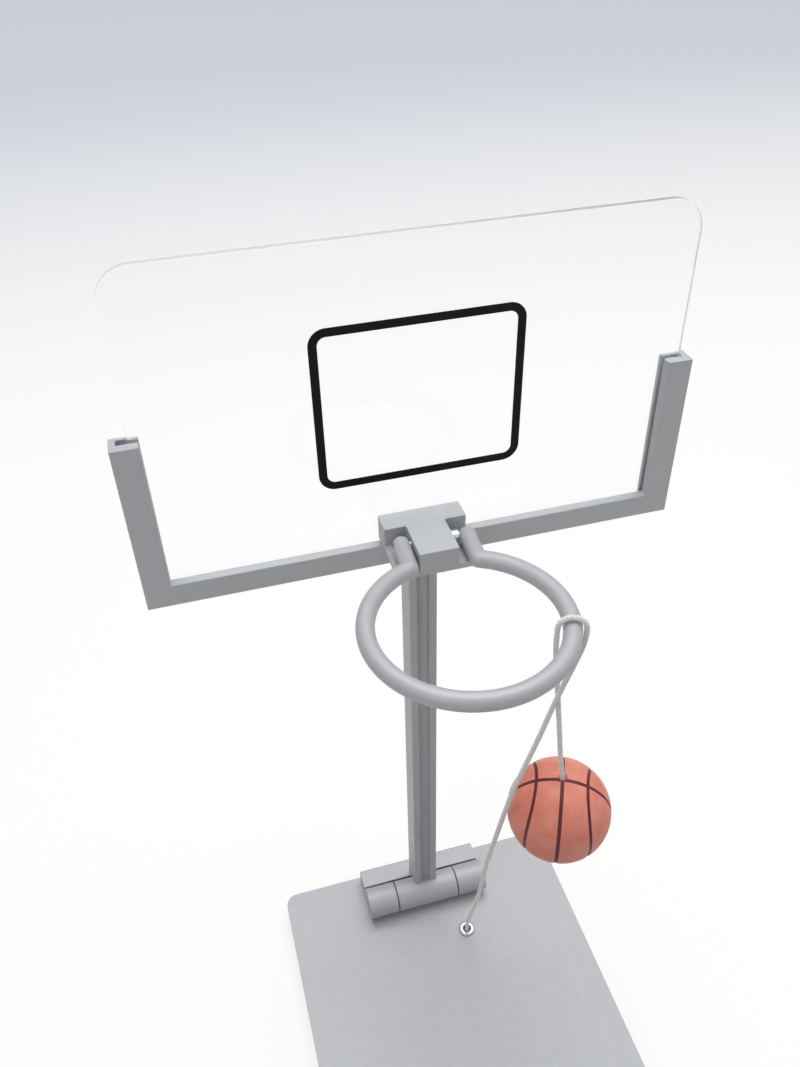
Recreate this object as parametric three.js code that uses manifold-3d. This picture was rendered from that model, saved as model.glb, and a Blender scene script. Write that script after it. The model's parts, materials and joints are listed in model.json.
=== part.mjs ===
// A fold-down tabletop basketball game: a metal base with a hinged mast, a clear backboard in a
// U-shaped frame, a hinged ring, a tethered ball and a finger-flick launching lever.
// Millimetres, +Z up, -Y towards the player. The origin is on the table, under the middle of the base.
import * as THREE from 'three';
import { mergeVertices } from 'three/addons/utils/BufferGeometryUtils.js';
import Module from 'manifold-3d';

const wasm = await Module();
wasm.setup();

// Fits shared by every piece
const gap = 0.3; // between pieces that would touch
const runningClearance = 0.1; // between a pin and its bore, all round
const overrun = 1; // how far a cutter passes the face that it cuts
const roundSides = 32;
const smallSides = 16;

// Base plate and feet
const baseWidth = 95;
const baseLength = 180;
const baseThickness = 6;
const baseCornerRadius = 4;
const baseChamfer = 0.5;
const footRadius = 5;
const footHeight = 2;
const footInset = 9;

// Hinge between base and mast
const blockWidth = 41;
const blockDepth = 6.8;
const blockHeight = 6.7;
const blockChamfer = 0.8;
const blockBackMargin = 1.5; // plate behind the block
const barrelRadius = 4.9;
const barrelAxisHeight = 5.2; // above the plate
const barrelReliefGap = 0.8; // between the barrel and the block's hollow
const mastKnuckleWidth = 20.8;
const knuckleGap = 0.4;
const hingePinRadius = 1.8;
const blockScrewSpacing = 28;
const blockScrewShankRadius = 1.5;
const blockScrewHeadRadius = 2.8;
const blockScrewHeadHeight = 1.6;
const blockScrewLength = 10;

// Mast
const mastWidth = 7.5;
const mastDepth = 7.7;
const mastLength = 143.5; // from the knuckle's seat to the underside of the board frame
const mastForwardOfAxis = 0.2;
const grooveRadius = 1.65;
const grooveTopMargin = 2.6;
const mastFrontTab = 1.2;
const footScrewBehindMastFront = 5.15;
const footScrewRadius = 1.25;
const footScrewHeadRadius = 2.2;
const footScrewHeadHeight = 1.2;
const footScrewLength = 9;

// Board frame and backboard
const frameWidth = 135;
const frameArmHeight = 44.2;
const frameArmWidth = 6.3;
const frameBarHeight = 6;
const frameThickness = 5.6;
const frameFloor = 2; // solid metal under the slot
const frameSideWall = 1.5;
const slotWidth = 2.1;
const slotFrontLip = 2.5; // metal before the slot
const rearLipDrop = 2; // the metal behind the slot is lower along the bottom bar
const panelSidePlay = 1.5; // between the panel and each end of the slot
const panelHeight = 79.9;
const panelThickness = 1.5;
const panelCornerRadius = 7.8;
const panelSideShift = 1; // the panel sits loosely, nearer the right arm
const targetWidth = 49;
const targetHeight = 40.5;
const targetLine = 2;
const targetCornerRadius = 4;
const targetThickness = 0.2;
const targetCentreHeight = 43.5; // above the frame's underside
const targetSideShift = 0.9;
const frameScrewRadius = 1;
const frameScrewHeadRadius = 1.9;
const frameScrewHeadHeight = 0.9;

// Ring bracket
const bracketWidth = 20.5;
const bracketHeight = 6.6;
const bracketLift = 1; // above the frame's bottom bar
const bracketRearDepth = 6.1;
const bracketLedgeThickness = 1.5;
const noseWidth = 9.7;
const noseReach = 11.5; // of the nose and the ledge, in front of the rear part
const bracketScrewSpacing = 14;
const bracketScrewHeightShare = 0.4; // of the bracket's height
const bracketScrewRadius = 1;
const bracketScrewHeadRadius = 1.9;
const bracketScrewHeadHeight = 1.2;
const bracketScrewGrip = 3.2; // thread inside the bracket
const washerRadius = 2.4;
const washerThickness = 0.4;

// Ring
const ringRadius = 22; // to the middle of the rod
const ringRodRadius = 2.1;
const ringCentreForward = 29.75; // of the ring's pin
const ringSideShift = -0.7; // of the ring's centre, because the ring has turned on its loose pin
const ringTurn = 3.3; // degrees, clockwise from above
const ringEndSpread = 16.2; // between the middles of the rod's two ends
const ringEndGap = 1.9; // between the rod's round ends and the bracket's rear part
const ringLift = 0.45; // between the rod and the ledge
const ringPinRadius = 0.9;
const ringPinInset = 0.6;
const spacerRadius = 1.6;
const spacerThickness = 1.9; // fills the gap between the nose and the ring's right end
const hoopSides = 12;
const hoopSteps = 44;

// Ball and cord
const ballRadius = 13;
const ballSides = 28;
const ballHoleRadius = 1;
const ballHoleDepth = 6;
const ballX = 22.15;
const ballForwardOfFrame = 45.5;
const ballBelowFrame = 52.1;
const cordRadius = 0.65;
const cordSides = 8;
const cordStubRise = 0.4; // the fixed end above the grommet
const cordRunSteps = 62;
const cordDropSteps = 18;
const grommetOuterRadius = 2.6;
const grommetInnerRadius = 1.1;
const grommetHeight = 1;
const grommetX = 10;
const grommetForwardOfAxis = 15.5;
const grommetSleeveRadius = 1.8;
const knotRadius = 1.7;
const knotPocketRadius = 2.3;
const knotPocketDepth = 3;

// Launcher
const leverPivotX = -13; // beside the mast when that lies folded on the plate
const leverPivotForwardOfAxis = 80;
const leverPivotHeight = 4; // above the plate
const leverWidth = 7;
const leverThickness = 1.6;
const leverArm = 58; // from the pivot to the cup's centre
const leverTail = 12;
const leverTailAngle = 14;
const leverHubRadius = 2.6;
const leverPinRadius = 1.5;
const leverPadLength = 8;
const leverPadThickness = 0.8;
const cupRadius = 10;
const cupWall = 1.1;
const cupDepth = 4.6;
const cupBaseShare = 0.55; // of the cup's radius, where it stands on the lever
const cupFloor = 1.2;
const cupScrewRadius = 1;
const cupScrewHeadRadius = 2;
const cupScrewHeadHeight = 0.7;
const earThickness = 1.6;
const earRadius = 3.4;
const earFlangeLength = 14;
const earFlange = 7;
const earSideGap = 0.4;
const earScrewRadius = 1.1;
const earScrewHeadRadius = 2;
const earScrewHeadHeight = 1;
const earScrewLength = 5;

// Levels and places that follow from the sizes above
const plateTop = footHeight + baseThickness;
const axisZ = plateTop + barrelAxisHeight;
const blockBackY = baseLength / 2 - blockBackMargin;
const blockFrontY = blockBackY - blockDepth;
const reliefRadius = barrelRadius + barrelReliefGap;
const blockTopAboveAxis = blockHeight - barrelAxisHeight;
const axisY = blockFrontY - Math.sqrt(reliefRadius ** 2 - blockTopAboveAxis ** 2);
const mastFrontY = axisY - mastForwardOfAxis;
const mastBackY = mastFrontY + mastDepth;
const mastBottomZ = axisZ + barrelRadius;
const frameZ = mastBottomZ + mastLength;
const frameFrontY = mastFrontY + mastFrontTab;
const frameBackY = frameFrontY + frameThickness;
const slotFrontY = frameFrontY + slotFrontLip;
const panelFrontY = slotFrontY + (slotWidth - panelThickness) / 2;
const panelBackY = panelFrontY + panelThickness;
const panelWidth = frameWidth - 2 * frameSideWall - 2 * panelSidePlay;
const panelBottomZ = frameZ + frameFloor;
const bracketBottomZ = frameZ + frameBarHeight + bracketLift;
const bracketTopZ = bracketBottomZ + bracketHeight;
const bracketBackY = panelFrontY - gap;
const bracketFrontY = bracketBackY - bracketRearDepth; // front of the rear part
const ringPinY = bracketFrontY - ringEndGap - ringRodRadius;
const ringPinZ = bracketBottomZ + bracketLedgeThickness + ringLift + ringRodRadius;
const ringTurnAngle = (ringTurn * Math.PI) / 180;
const ringEndReach = ringCentreForward / Math.cos(ringTurnAngle); // from the ring's centre
const ringMiddleX = ringSideShift + ringCentreForward * Math.tan(ringTurnAngle);
const ringStubLeftX = ringMiddleX - (ringEndSpread / 2) * Math.cos(ringTurnAngle);
const ringStubRightX = ringMiddleX + (ringEndSpread / 2) * Math.cos(ringTurnAngle);
const ringCentreY = ringPinY - ringCentreForward;
const leverPivotY = axisY - leverPivotForwardOfAxis;
const leverPivotZ = plateTop + leverPivotHeight;
const leverAim = Math.atan2(leverPivotX, ringCentreY - leverPivotY); // the lever points at the ring's centre
const grommetY = axisY - grommetForwardOfAxis;

// Materials
const metal = (color, roughness) => new THREE.MeshStandardMaterial({ color, roughness, metalness: 0.85 });
const blastedAluminium = metal(0xa4a6a9, 0.5);
const steel = metal(0xb9bbbd, 0.3);
const blackRubber = new THREE.MeshStandardMaterial({ color: 0x202022, roughness: 0.85, metalness: 0 });
const clearAcrylic = new THREE.MeshStandardMaterial({
  color: 0xf2f5f6, roughness: 0.05, metalness: 0, transparent: true, opacity: 0.25,
});
const blackInk = new THREE.MeshStandardMaterial({ color: 0x0c0c0d, roughness: 0.5, metalness: 0 });
const orangeRubber = new THREE.MeshStandardMaterial({ color: 0xde8070, roughness: 0.6, metalness: 0 });
const whiteCord = new THREE.MeshStandardMaterial({ color: 0xd7d7cd, roughness: 0.9, metalness: 0 });

// Turning three.js geometry into solids and back
const toSolid = (geometry) => {
  const bare = geometry.clone();
  bare.deleteAttribute('normal');
  bare.deleteAttribute('uv');
  const merged = mergeVertices(bare);
  return new wasm.Manifold(new wasm.Mesh({
    numProp: 3,
    vertProperties: new Float32Array(merged.attributes.position.array),
    triVerts: new Uint32Array(merged.index.array),
  }));
};

const toGeometry = (solid) => {
  const mesh = solid.getMesh();
  const geometry = new THREE.BufferGeometry();
  geometry.setAttribute('position', new THREE.BufferAttribute(new Float32Array(mesh.vertProperties), 3));
  geometry.setIndex(new THREE.BufferAttribute(new Uint32Array(mesh.triVerts), 1));
  geometry.computeVertexNormals();
  return geometry;
};

// A box from its lowest and highest corner
const box = (x0, y0, z0, x1, y1, z1) => {
  const geometry = new THREE.BoxGeometry(x1 - x0, y1 - y0, z1 - z0);
  geometry.translate((x0 + x1) / 2, (y0 + y1) / 2, (z0 + z1) / 2);
  return toSolid(geometry);
};

// A cylinder along X, Y or Z from one end to the other
const rod = (axis, radius, from, to, at, sides = roundSides) => {
  const geometry = new THREE.CylinderGeometry(radius, radius, to - from, sides);
  geometry.translate(0, (from + to) / 2, 0);
  if (axis === 'x') geometry.rotateZ(-Math.PI / 2).translate(0, at[0], at[1]);
  if (axis === 'y') geometry.translate(at[0], 0, at[1]);
  if (axis === 'z') geometry.rotateX(Math.PI / 2).translate(at[0], at[1], 0);
  return toSolid(geometry);
};

// A closed profile turned about the vertical line through (x, y)
const turned = (profile, x, y, sides = roundSides) => {
  const geometry = new THREE.LatheGeometry(profile.map(([r, z]) => new THREE.Vector2(r, z)), sides);
  geometry.rotateX(Math.PI / 2).translate(x, y, 0);
  const solid = toSolid(geometry);
  return solid.volume() > 0 ? solid : toSolid(flipped(geometry));
};

const flipped = (geometry) => {
  const turnedRound = geometry.clone();
  const index = turnedRound.index.array;
  for (let i = 0; i < index.length; i += 3) [index[i], index[i + 1]] = [index[i + 1], index[i]];
  return turnedRound;
};

// A rectangle with round corners, as a path that can be a shape or a hole
const roundedRectangle = (path, x0, y0, x1, y1, bottomRadius, topRadius) => {
  path.moveTo(x0 + bottomRadius, y0);
  path.lineTo(x1 - bottomRadius, y0);
  if (bottomRadius > 0) path.absarc(x1 - bottomRadius, y0 + bottomRadius, bottomRadius, -Math.PI / 2, 0);
  path.lineTo(x1, y1 - topRadius);
  if (topRadius > 0) path.absarc(x1 - topRadius, y1 - topRadius, topRadius, 0, Math.PI / 2);
  path.lineTo(x0 + topRadius, y1);
  if (topRadius > 0) path.absarc(x0 + topRadius, y1 - topRadius, topRadius, Math.PI / 2, Math.PI);
  path.lineTo(x0, y0 + bottomRadius);
  if (bottomRadius > 0) path.absarc(x0 + bottomRadius, y0 + bottomRadius, bottomRadius, Math.PI, Math.PI * 1.5);
  return path;
};

// An upright sheet: a shape drawn in X and Z, thickened along +Y from its front face
const uprightSheet = (shape, frontY, thickness, curveSegments = 8) => {
  const geometry = new THREE.ExtrudeGeometry(shape, { depth: thickness, bevelEnabled: false, curveSegments });
  geometry.rotateX(Math.PI / 2).translate(0, frontY + thickness, 0);
  return toSolid(geometry);
};

// A shape drawn in Y and Z, thickened along X
const sideProfile = (points, x0, x1) => {
  const shape = new THREE.Shape(points.map(([y, z]) => new THREE.Vector2(y, z)));
  const geometry = new THREE.ExtrudeGeometry(shape, { depth: x1 - x0, bevelEnabled: false });
  geometry.rotateY(Math.PI / 2).rotateX(Math.PI / 2).translate(x0, 0, 0);
  return toSolid(geometry);
};

const unite = (...solids) => solids.reduce((sum, solid) => sum.add(solid));
const cutAway = (solid, ...cutters) => cutters.reduce((rest, cutter) => rest.subtract(cutter), solid);
const mirrored = (value) => [-value, value];
const sides = { left: -1, right: 1 };

const game = new THREE.Group();
game.name = 'tabletop_basketball_game';

const addPiece = (name, solid, material, parent = game) => {
  const mesh = new THREE.Mesh(toGeometry(solid), material);
  mesh.name = name;
  parent.add(mesh);
};

// The same piece on the left and on the right
const addPair = (name, makeAt, material, parent = game) => {
  for (const [sideName, side] of Object.entries(sides)) {
    addPiece(`${name}_${sideName}`, makeAt(side), material, parent);
  }
};

// Base plate, with the holes for everything that is fixed to it
const blockScrewY = blockFrontY + blockDepth / 2;
const earScrewX = leverWidth / 2 + earSideGap + earThickness + earFlange / 2;

const makeBasePlate = () => {
  const half = baseWidth / 2;
  const shape = roundedRectangle(new THREE.Shape(), -half + baseChamfer, -baseLength / 2 + baseChamfer,
    half - baseChamfer, baseLength / 2 - baseChamfer, baseCornerRadius, baseCornerRadius);
  const geometry = new THREE.ExtrudeGeometry(shape, {
    depth: baseThickness - 2 * baseChamfer,
    bevelEnabled: true,
    bevelThickness: baseChamfer,
    bevelSize: baseChamfer,
    bevelSegments: 1,
    curveSegments: 6,
  });
  geometry.translate(0, 0, footHeight + baseChamfer);
  const bottom = footHeight - overrun;
  const cutters = [];
  for (const x of mirrored(blockScrewSpacing / 2)) {
    cutters.push(rod('z', blockScrewShankRadius + gap, bottom, plateTop + overrun, [x, blockScrewY], smallSides));
    cutters.push(rod('z', blockScrewHeadRadius + gap, bottom, footHeight + blockScrewHeadHeight + gap,
      [x, blockScrewY], smallSides));
  }
  for (const reach of mirrored(earScrewX)) {
    const at = [leverPivotX + reach * Math.cos(leverAim), leverPivotY + reach * Math.sin(leverAim)];
    cutters.push(rod('z', earScrewRadius + gap, plateTop - earScrewLength, plateTop + overrun, at, smallSides));
  }
  cutters.push(rod('z', grommetSleeveRadius + gap, bottom, plateTop + overrun, [grommetX, grommetY], smallSides));
  cutters.push(rod('z', knotPocketRadius, bottom, footHeight + knotPocketDepth, [grommetX, grommetY], smallSides));
  return cutAway(toSolid(geometry), ...cutters);
};
addPiece('base_plate', makeBasePlate(), blastedAluminium);

for (const [endName, end] of Object.entries({ front: -1, rear: 1 })) {
  const y = end * (baseLength / 2 - footInset);
  addPair(`foot_${endName}`, (side) => rod('z', footRadius, 0, footHeight,
    [side * (baseWidth / 2 - footInset), y]), blackRubber);
}

// Hinge: a fixed block with two outer knuckles, the mast's knuckle between them and one pin
const outerKnuckleInner = mastKnuckleWidth / 2 + knuckleGap;

const makeHingeBlock = () => {
  const half = blockWidth / 2;
  const top = plateTop + blockHeight;
  const body = sideProfile([
    [blockFrontY, plateTop],
    [blockBackY, plateTop],
    [blockBackY, top - blockChamfer],
    [blockBackY - blockChamfer, top],
    [blockFrontY, top],
  ], -half, half);
  const shelf = box(-half, axisY, plateTop, half, blockFrontY + overrun, axisZ);
  let solid = unite(body, shelf);
  const hollow = rod('x', reliefRadius, -half - overrun, half + overrun, [axisY, axisZ]);
  solid = cutAway(solid, hollow);
  for (const side of [-1, 1]) {
    const ends = [side * outerKnuckleInner, side * half].sort((a, b) => a - b);
    const knuckle = rod('x', barrelRadius, ends[0], ends[1], [axisY, axisZ]);
    const web = box(ends[0], axisY, plateTop, ends[1], blockFrontY + blockDepth / 2, axisZ);
    solid = unite(solid, knuckle, web);
  }
  const screws = mirrored(blockScrewSpacing / 2).map((x) => rod('z', blockScrewShankRadius + gap,
    plateTop - overrun, footHeight + blockScrewLength + gap, [x, blockScrewY], smallSides));
  const bore = rod('x', hingePinRadius + runningClearance, -half - overrun, half + overrun, [axisY, axisZ]);
  return cutAway(solid, bore, ...screws);
};
addPiece('hinge_block', makeHingeBlock(), blastedAluminium);
addPiece('hinge_pin', rod('x', hingePinRadius, -blockWidth / 2, blockWidth / 2, [axisY, axisZ]), steel);

const makeBlockScrew = (side) => {
  const at = [side * blockScrewSpacing / 2, blockScrewY];
  return unite(
    rod('z', blockScrewHeadRadius, footHeight + gap / 2, footHeight + gap + blockScrewHeadHeight, at, smallSides),
    rod('z', blockScrewShankRadius, footHeight + gap, footHeight + blockScrewLength, at, smallSides),
  );
};
addPair('hinge_block_screw', makeBlockScrew, steel);

const seatScrewY = mastFrontY + footScrewBehindMastFront;
const seatBottomZ = axisZ + blockTopAboveAxis + gap;

const makeMastKnuckle = () => {
  const half = mastKnuckleWidth / 2;
  const barrel = rod('x', barrelRadius, -half, half, [axisY, axisZ]);
  const seat = box(-mastWidth / 2, axisY, seatBottomZ, mastWidth / 2, mastBackY, mastBottomZ);
  const bore = rod('x', hingePinRadius + runningClearance, -half - overrun, half + overrun, [axisY, axisZ]);
  const screwHole = rod('z', footScrewRadius + gap, seatBottomZ - overrun, mastBottomZ + overrun,
    [0, seatScrewY], smallSides);
  const headHole = rod('z', footScrewHeadRadius + gap, seatBottomZ - overrun,
    seatBottomZ + footScrewHeadHeight, [0, seatScrewY], smallSides);
  return cutAway(unite(barrel, seat), bore, screwHole, headHole);
};
addPiece('mast_knuckle', makeMastKnuckle(), blastedAluminium);

const makeFootScrew = () => unite(
  rod('z', footScrewHeadRadius, seatBottomZ + gap / 2, seatBottomZ + footScrewHeadHeight,
    [0, seatScrewY], smallSides),
  rod('z', footScrewRadius, seatBottomZ + gap, seatBottomZ + footScrewLength, [0, seatScrewY], smallSides),
);
addPiece('mast_foot_screw', makeFootScrew(), steel);

// Mast: a square bar with a half-round groove down its front, and a fork at the top that grips the board frame
const frameScrewZ = frameZ + frameFloor / 2;

const makeMast = () => {
  const half = mastWidth / 2;
  const top = frameZ + frameBarHeight;
  const bar = box(-half, mastFrontY, mastBottomZ, half, mastBackY, top);
  const fork = box(-half - overrun, frameFrontY, frameZ, half + overrun, frameBackY, top + overrun);
  const groove = rod('z', grooveRadius, mastBottomZ - overrun, frameZ - grooveTopMargin, [0, mastFrontY]);
  const footHole = rod('z', footScrewRadius + gap, mastBottomZ - overrun,
    seatBottomZ + footScrewLength + gap, [0, seatScrewY], smallSides);
  const screwHole = rod('y', frameScrewRadius + gap, mastFrontY - overrun, mastBackY + overrun,
    [0, frameScrewZ], smallSides);
  return cutAway(bar, fork, groove, footHole, screwHole);
};
addPiece('mast', makeMast(), blastedAluminium);

// U-shaped frame with a slot for the clear panel
const makeBoardFrame = () => {
  const half = frameWidth / 2;
  const armTop = frameZ + frameArmHeight;
  const outer = box(-half, frameFrontY, frameZ, half, frameBackY, armTop);
  const windowCut = box(-half + frameArmWidth, frameFrontY - overrun, frameZ + frameBarHeight,
    half - frameArmWidth, frameBackY + overrun, armTop + overrun);
  const slot = box(-half + frameSideWall, slotFrontY, frameZ + frameFloor,
    half - frameSideWall, slotFrontY + slotWidth, armTop + overrun);
  const rearLipCut = box(-half + frameArmWidth, slotFrontY, frameZ + frameBarHeight - rearLipDrop,
    half - frameArmWidth, frameBackY + overrun, armTop + overrun);
  const screwHole = rod('y', frameScrewRadius + gap, frameFrontY - overrun, frameBackY + overrun,
    [0, frameScrewZ], smallSides);
  return cutAway(outer, windowCut, slot, rearLipCut, screwHole);
};
addPiece('board_frame', makeBoardFrame(), blastedAluminium);

const makeFrameScrew = () => unite(
  rod('y', frameScrewHeadRadius, mastBackY, mastBackY + frameScrewHeadHeight, [0, frameScrewZ], smallSides),
  rod('y', frameScrewRadius, mastFrontY + mastFrontTab / 2, mastBackY + frameScrewHeadHeight / 2,
    [0, frameScrewZ], smallSides),
);
addPiece('frame_screw', makeFrameScrew(), steel);

// Clear panel, with two holes for the bracket's screws, and the painted outline on its front
const bracketScrewZ = bracketBottomZ + bracketHeight * bracketScrewHeightShare;

const makeBackboard = () => {
  const x0 = panelSideShift - panelWidth / 2;
  const x1 = panelSideShift + panelWidth / 2;
  const shape = roundedRectangle(new THREE.Shape(), x0, panelBottomZ, x1, panelBottomZ + panelHeight,
    0, panelCornerRadius);
  const holes = mirrored(bracketScrewSpacing / 2).map((x) => rod('y', bracketScrewRadius + gap,
    panelFrontY - overrun, panelBackY + overrun, [x, bracketScrewZ], smallSides));
  return cutAway(uprightSheet(shape, panelFrontY, panelThickness), ...holes);
};
addPiece('backboard', makeBackboard(), clearAcrylic);

const makeTarget = () => {
  const bottom = frameZ + targetCentreHeight - targetHeight / 2;
  const left = targetSideShift - targetWidth / 2;
  const right = targetSideShift + targetWidth / 2;
  const shape = roundedRectangle(new THREE.Shape(), left, bottom, right, bottom + targetHeight,
    targetCornerRadius, targetCornerRadius);
  const innerRadius = targetCornerRadius - targetLine;
  shape.holes.push(roundedRectangle(new THREE.Path(), left + targetLine, bottom + targetLine,
    right - targetLine, bottom + targetHeight - targetLine, innerRadius, innerRadius));
  return uprightSheet(shape, panelFrontY - targetThickness, targetThickness, 6);
};
addPiece('target_outline', makeTarget(), blackInk);

// Ring bracket: a T seen from above, with a ledge that the ring's ends lie on
const makeBracket = () => {
  const half = bracketWidth / 2;
  const rear = box(-half, bracketFrontY, bracketBottomZ, half, bracketBackY, bracketTopZ);
  const nose = box(-noseWidth / 2, bracketFrontY - noseReach, bracketBottomZ,
    noseWidth / 2, bracketFrontY + overrun, bracketTopZ);
  const ledge = box(-half, bracketFrontY - noseReach, bracketBottomZ, half,
    bracketFrontY + overrun, bracketBottomZ + bracketLedgeThickness);
  const bore = rod('x', ringPinRadius + runningClearance, -half - overrun, half + overrun, [ringPinY, ringPinZ],
    smallSides);
  const holes = mirrored(bracketScrewSpacing / 2).map((x) => rod('y', bracketScrewRadius + gap,
    bracketBackY - bracketScrewGrip - gap, bracketBackY + overrun, [x, bracketScrewZ], smallSides));
  return cutAway(unite(rear, nose, ledge), bore, ...holes);
};
addPiece('ring_bracket', makeBracket(), blastedAluminium);

const makeBracketScrew = (side) => {
  const at = [side * bracketScrewSpacing / 2, bracketScrewZ];
  const headFrontY = panelBackY + washerThickness;
  return unite(
    rod('y', bracketScrewHeadRadius, headFrontY, headFrontY + bracketScrewHeadHeight, at, smallSides),
    rod('y', bracketScrewRadius, bracketBackY - bracketScrewGrip, headFrontY + bracketScrewHeadHeight / 2, at,
      smallSides),
  );
};
addPair('bracket_screw', makeBracketScrew, steel);

const makeBracketWasher = (side) => {
  const at = [side * bracketScrewSpacing / 2, bracketScrewZ];
  return cutAway(
    rod('y', washerRadius, panelBackY, panelBackY + washerThickness, at, smallSides),
    rod('y', bracketScrewRadius + gap, panelBackY - overrun, panelBackY + washerThickness + overrun, at,
      smallSides),
  );
};
addPair('bracket_washer', makeBracketWasher, steel);

// Ring: one rod bent round, its two ends turned back and hung on a cross pin
const makeRing = () => {
  const half = ringEndSpread / 2;
  const joinY = Math.sqrt(ringRadius ** 2 - half ** 2);
  const outside = ringRodRadius + overrun;
  const hoop = toSolid(new THREE.TorusGeometry(ringRadius, ringRodRadius, hoopSides, hoopSteps));
  let ring = cutAway(hoop, box(-half, 0, -outside, half, ringEndReach, outside));
  for (const x of mirrored(half)) {
    const stub = rod('y', ringRodRadius, joinY, ringEndReach, [x, 0], hoopSides);
    const balls = [joinY, ringEndReach].map((y) => {
      const geometry = new THREE.SphereGeometry(ringRodRadius, hoopSides, hoopSides / 2);
      return toSolid(geometry.rotateX(Math.PI / 2).translate(x, y, 0));
    });
    ring = unite(ring, stub, ...balls);
  }
  const placed = ring.rotate([0, 0, -ringTurn]).translate([ringSideShift, ringCentreY, ringPinZ]);
  return cutAway(placed, rod('x', ringPinRadius + runningClearance, ringStubLeftX - outside, ringStubRightX + outside,
    [ringPinY, ringPinZ], smallSides));
};
addPiece('ring', makeRing(), blastedAluminium);

const ringPinReach = ringRodRadius - ringPinInset; // beyond the middle of each end of the rod
addPiece('ring_pin', rod('x', ringPinRadius, ringStubLeftX - ringPinReach, ringStubRightX + ringPinReach,
  [ringPinY, ringPinZ], smallSides), steel);

const makeRingSpacer = () => {
  const middle = (noseWidth / 2 + ringStubRightX - ringRodRadius) / 2;
  const from = middle - spacerThickness / 2;
  const to = middle + spacerThickness / 2;
  return cutAway(rod('x', spacerRadius, from, to, [ringPinY, ringPinZ], smallSides),
    rod('x', ringPinRadius + runningClearance, from - overrun, to + overrun, [ringPinY, ringPinZ], smallSides));
};
addPiece('ring_spacer', makeRingSpacer(), steel);

// Ball on its cord
const ballY = frameFrontY - ballForwardOfFrame;
const ballZ = frameZ - ballBelowFrame;

const makeBall = () => {
  const geometry = new THREE.SphereGeometry(ballRadius, ballSides, ballSides / 2);
  geometry.rotateX(Math.PI / 2).translate(ballX, ballY, ballZ);
  return cutAway(toSolid(geometry), rod('z', ballHoleRadius, ballZ + ballRadius - ballHoleDepth,
    ballZ + ballRadius + overrun, [ballX, ballY], smallSides));
};
addPiece('ball', makeBall(), orangeRubber);

const makeGrommet = () => {
  const sleeveBottom = footHeight + knotPocketDepth + gap;
  return cutAway(unite(
    rod('z', grommetOuterRadius, plateTop, plateTop + grommetHeight, [grommetX, grommetY], smallSides),
    rod('z', grommetSleeveRadius, sleeveBottom, plateTop + grommetHeight / 2, [grommetX, grommetY], smallSides),
  ), rod('z', grommetInnerRadius, sleeveBottom - overrun, plateTop + grommetHeight + overrun,
    [grommetX, grommetY], smallSides));
};
addPiece('cord_grommet', makeGrommet(), steel);

// The cord's fixed end: a knot in the plate's pocket, and the cord that rises from it through the grommet
const makeKnot = () => {
  const knotZ = footHeight + knotPocketDepth - knotRadius;
  const geometry = new THREE.SphereGeometry(knotRadius, smallSides, smallSides / 2);
  geometry.rotateX(Math.PI / 2).translate(grommetX, grommetY, knotZ);
  return unite(toSolid(geometry),
    rod('z', cordRadius, knotZ, plateTop + grommetHeight + cordStubRise, [grommetX, grommetY], cordSides));
};
addPiece('cord_anchor_knot', makeKnot(), whiteCord);

// Routes of the cord, in millimetres from the middle of the frame's underside, at its front face
const cordRunRoute = [
  [10, -16.5, -151.8], [10, -16.75, -148.5], [9.95, -18.2, -143.5], [9.9, -21.4, -132.5], [9.8, -25, -120],
  [9.2, -29.1, -106], [8.3, -33.1, -92], [7.65, -37.2, -78], [7.5, -40.5, -66], [7.8, -42.7, -56],
  [8.5, -44.2, -47], [9.7, -45.1, -39], [11.5, -45.7, -31], [13.9, -46.1, -22], [16.2, -46.3, -13],
  [18.6, -46.3, -5], [21, -46.2, 2], [22.4, -46.15, 7], [22.67, -46.09, 11.05], [22.29, -45.95, 12.58],
  [21.24, -45.55, 13.69], [19.81, -45.02, 14.1], [18.38, -44.49, 13.69], [17.34, -44.1, 12.58],
  [16.93, -43.95, 11.05], [16.9, -43.93, 9.6],
];
const cordDropRoute = [
  [16.9, -43.93, 9.1], [16.95, -43.95, 6], [17.35, -44.15, 1], [18.1, -44.45, -6], [18.95, -44.7, -14],
  [19.85, -44.95, -22], [20.8, -45.2, -31], [21.6, -45.4, -37], [22.05, -45.48, -40.5], [22.15, -45.5, -44.6],
];

const makeCord = (route, steps) => {
  const points = route.map(([x, y, z]) => new THREE.Vector3(x, frameFrontY + y, frameZ + z));
  const section = new THREE.Shape();
  section.absarc(0, 0, cordRadius, 0, Math.PI * 2);
  const geometry = new THREE.ExtrudeGeometry(section, {
    steps,
    curveSegments: cordSides / 2,
    extrudePath: new THREE.CatmullRomCurve3(points, false, 'centripetal'),
    bevelEnabled: false,
  });
  const solid = toSolid(geometry);
  return solid.volume() > 0 ? solid : toSolid(flipped(mergeVertices(geometry)));
};
addPiece('cord_run', makeCord(cordRunRoute, cordRunSteps), whiteCord);
addPiece('cord_drop', makeCord(cordDropRoute, cordDropSteps), whiteCord);

// Launcher: a flick lever on a pin between two angle brackets, drawn with its pivot over the group's origin
const launcher = new THREE.Group();
launcher.position.set(leverPivotX, leverPivotY, 0);
launcher.rotation.z = leverAim;
game.add(launcher);

const earInnerX = leverWidth / 2 + earSideGap;
const earOuterX = earInnerX + earThickness;

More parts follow.
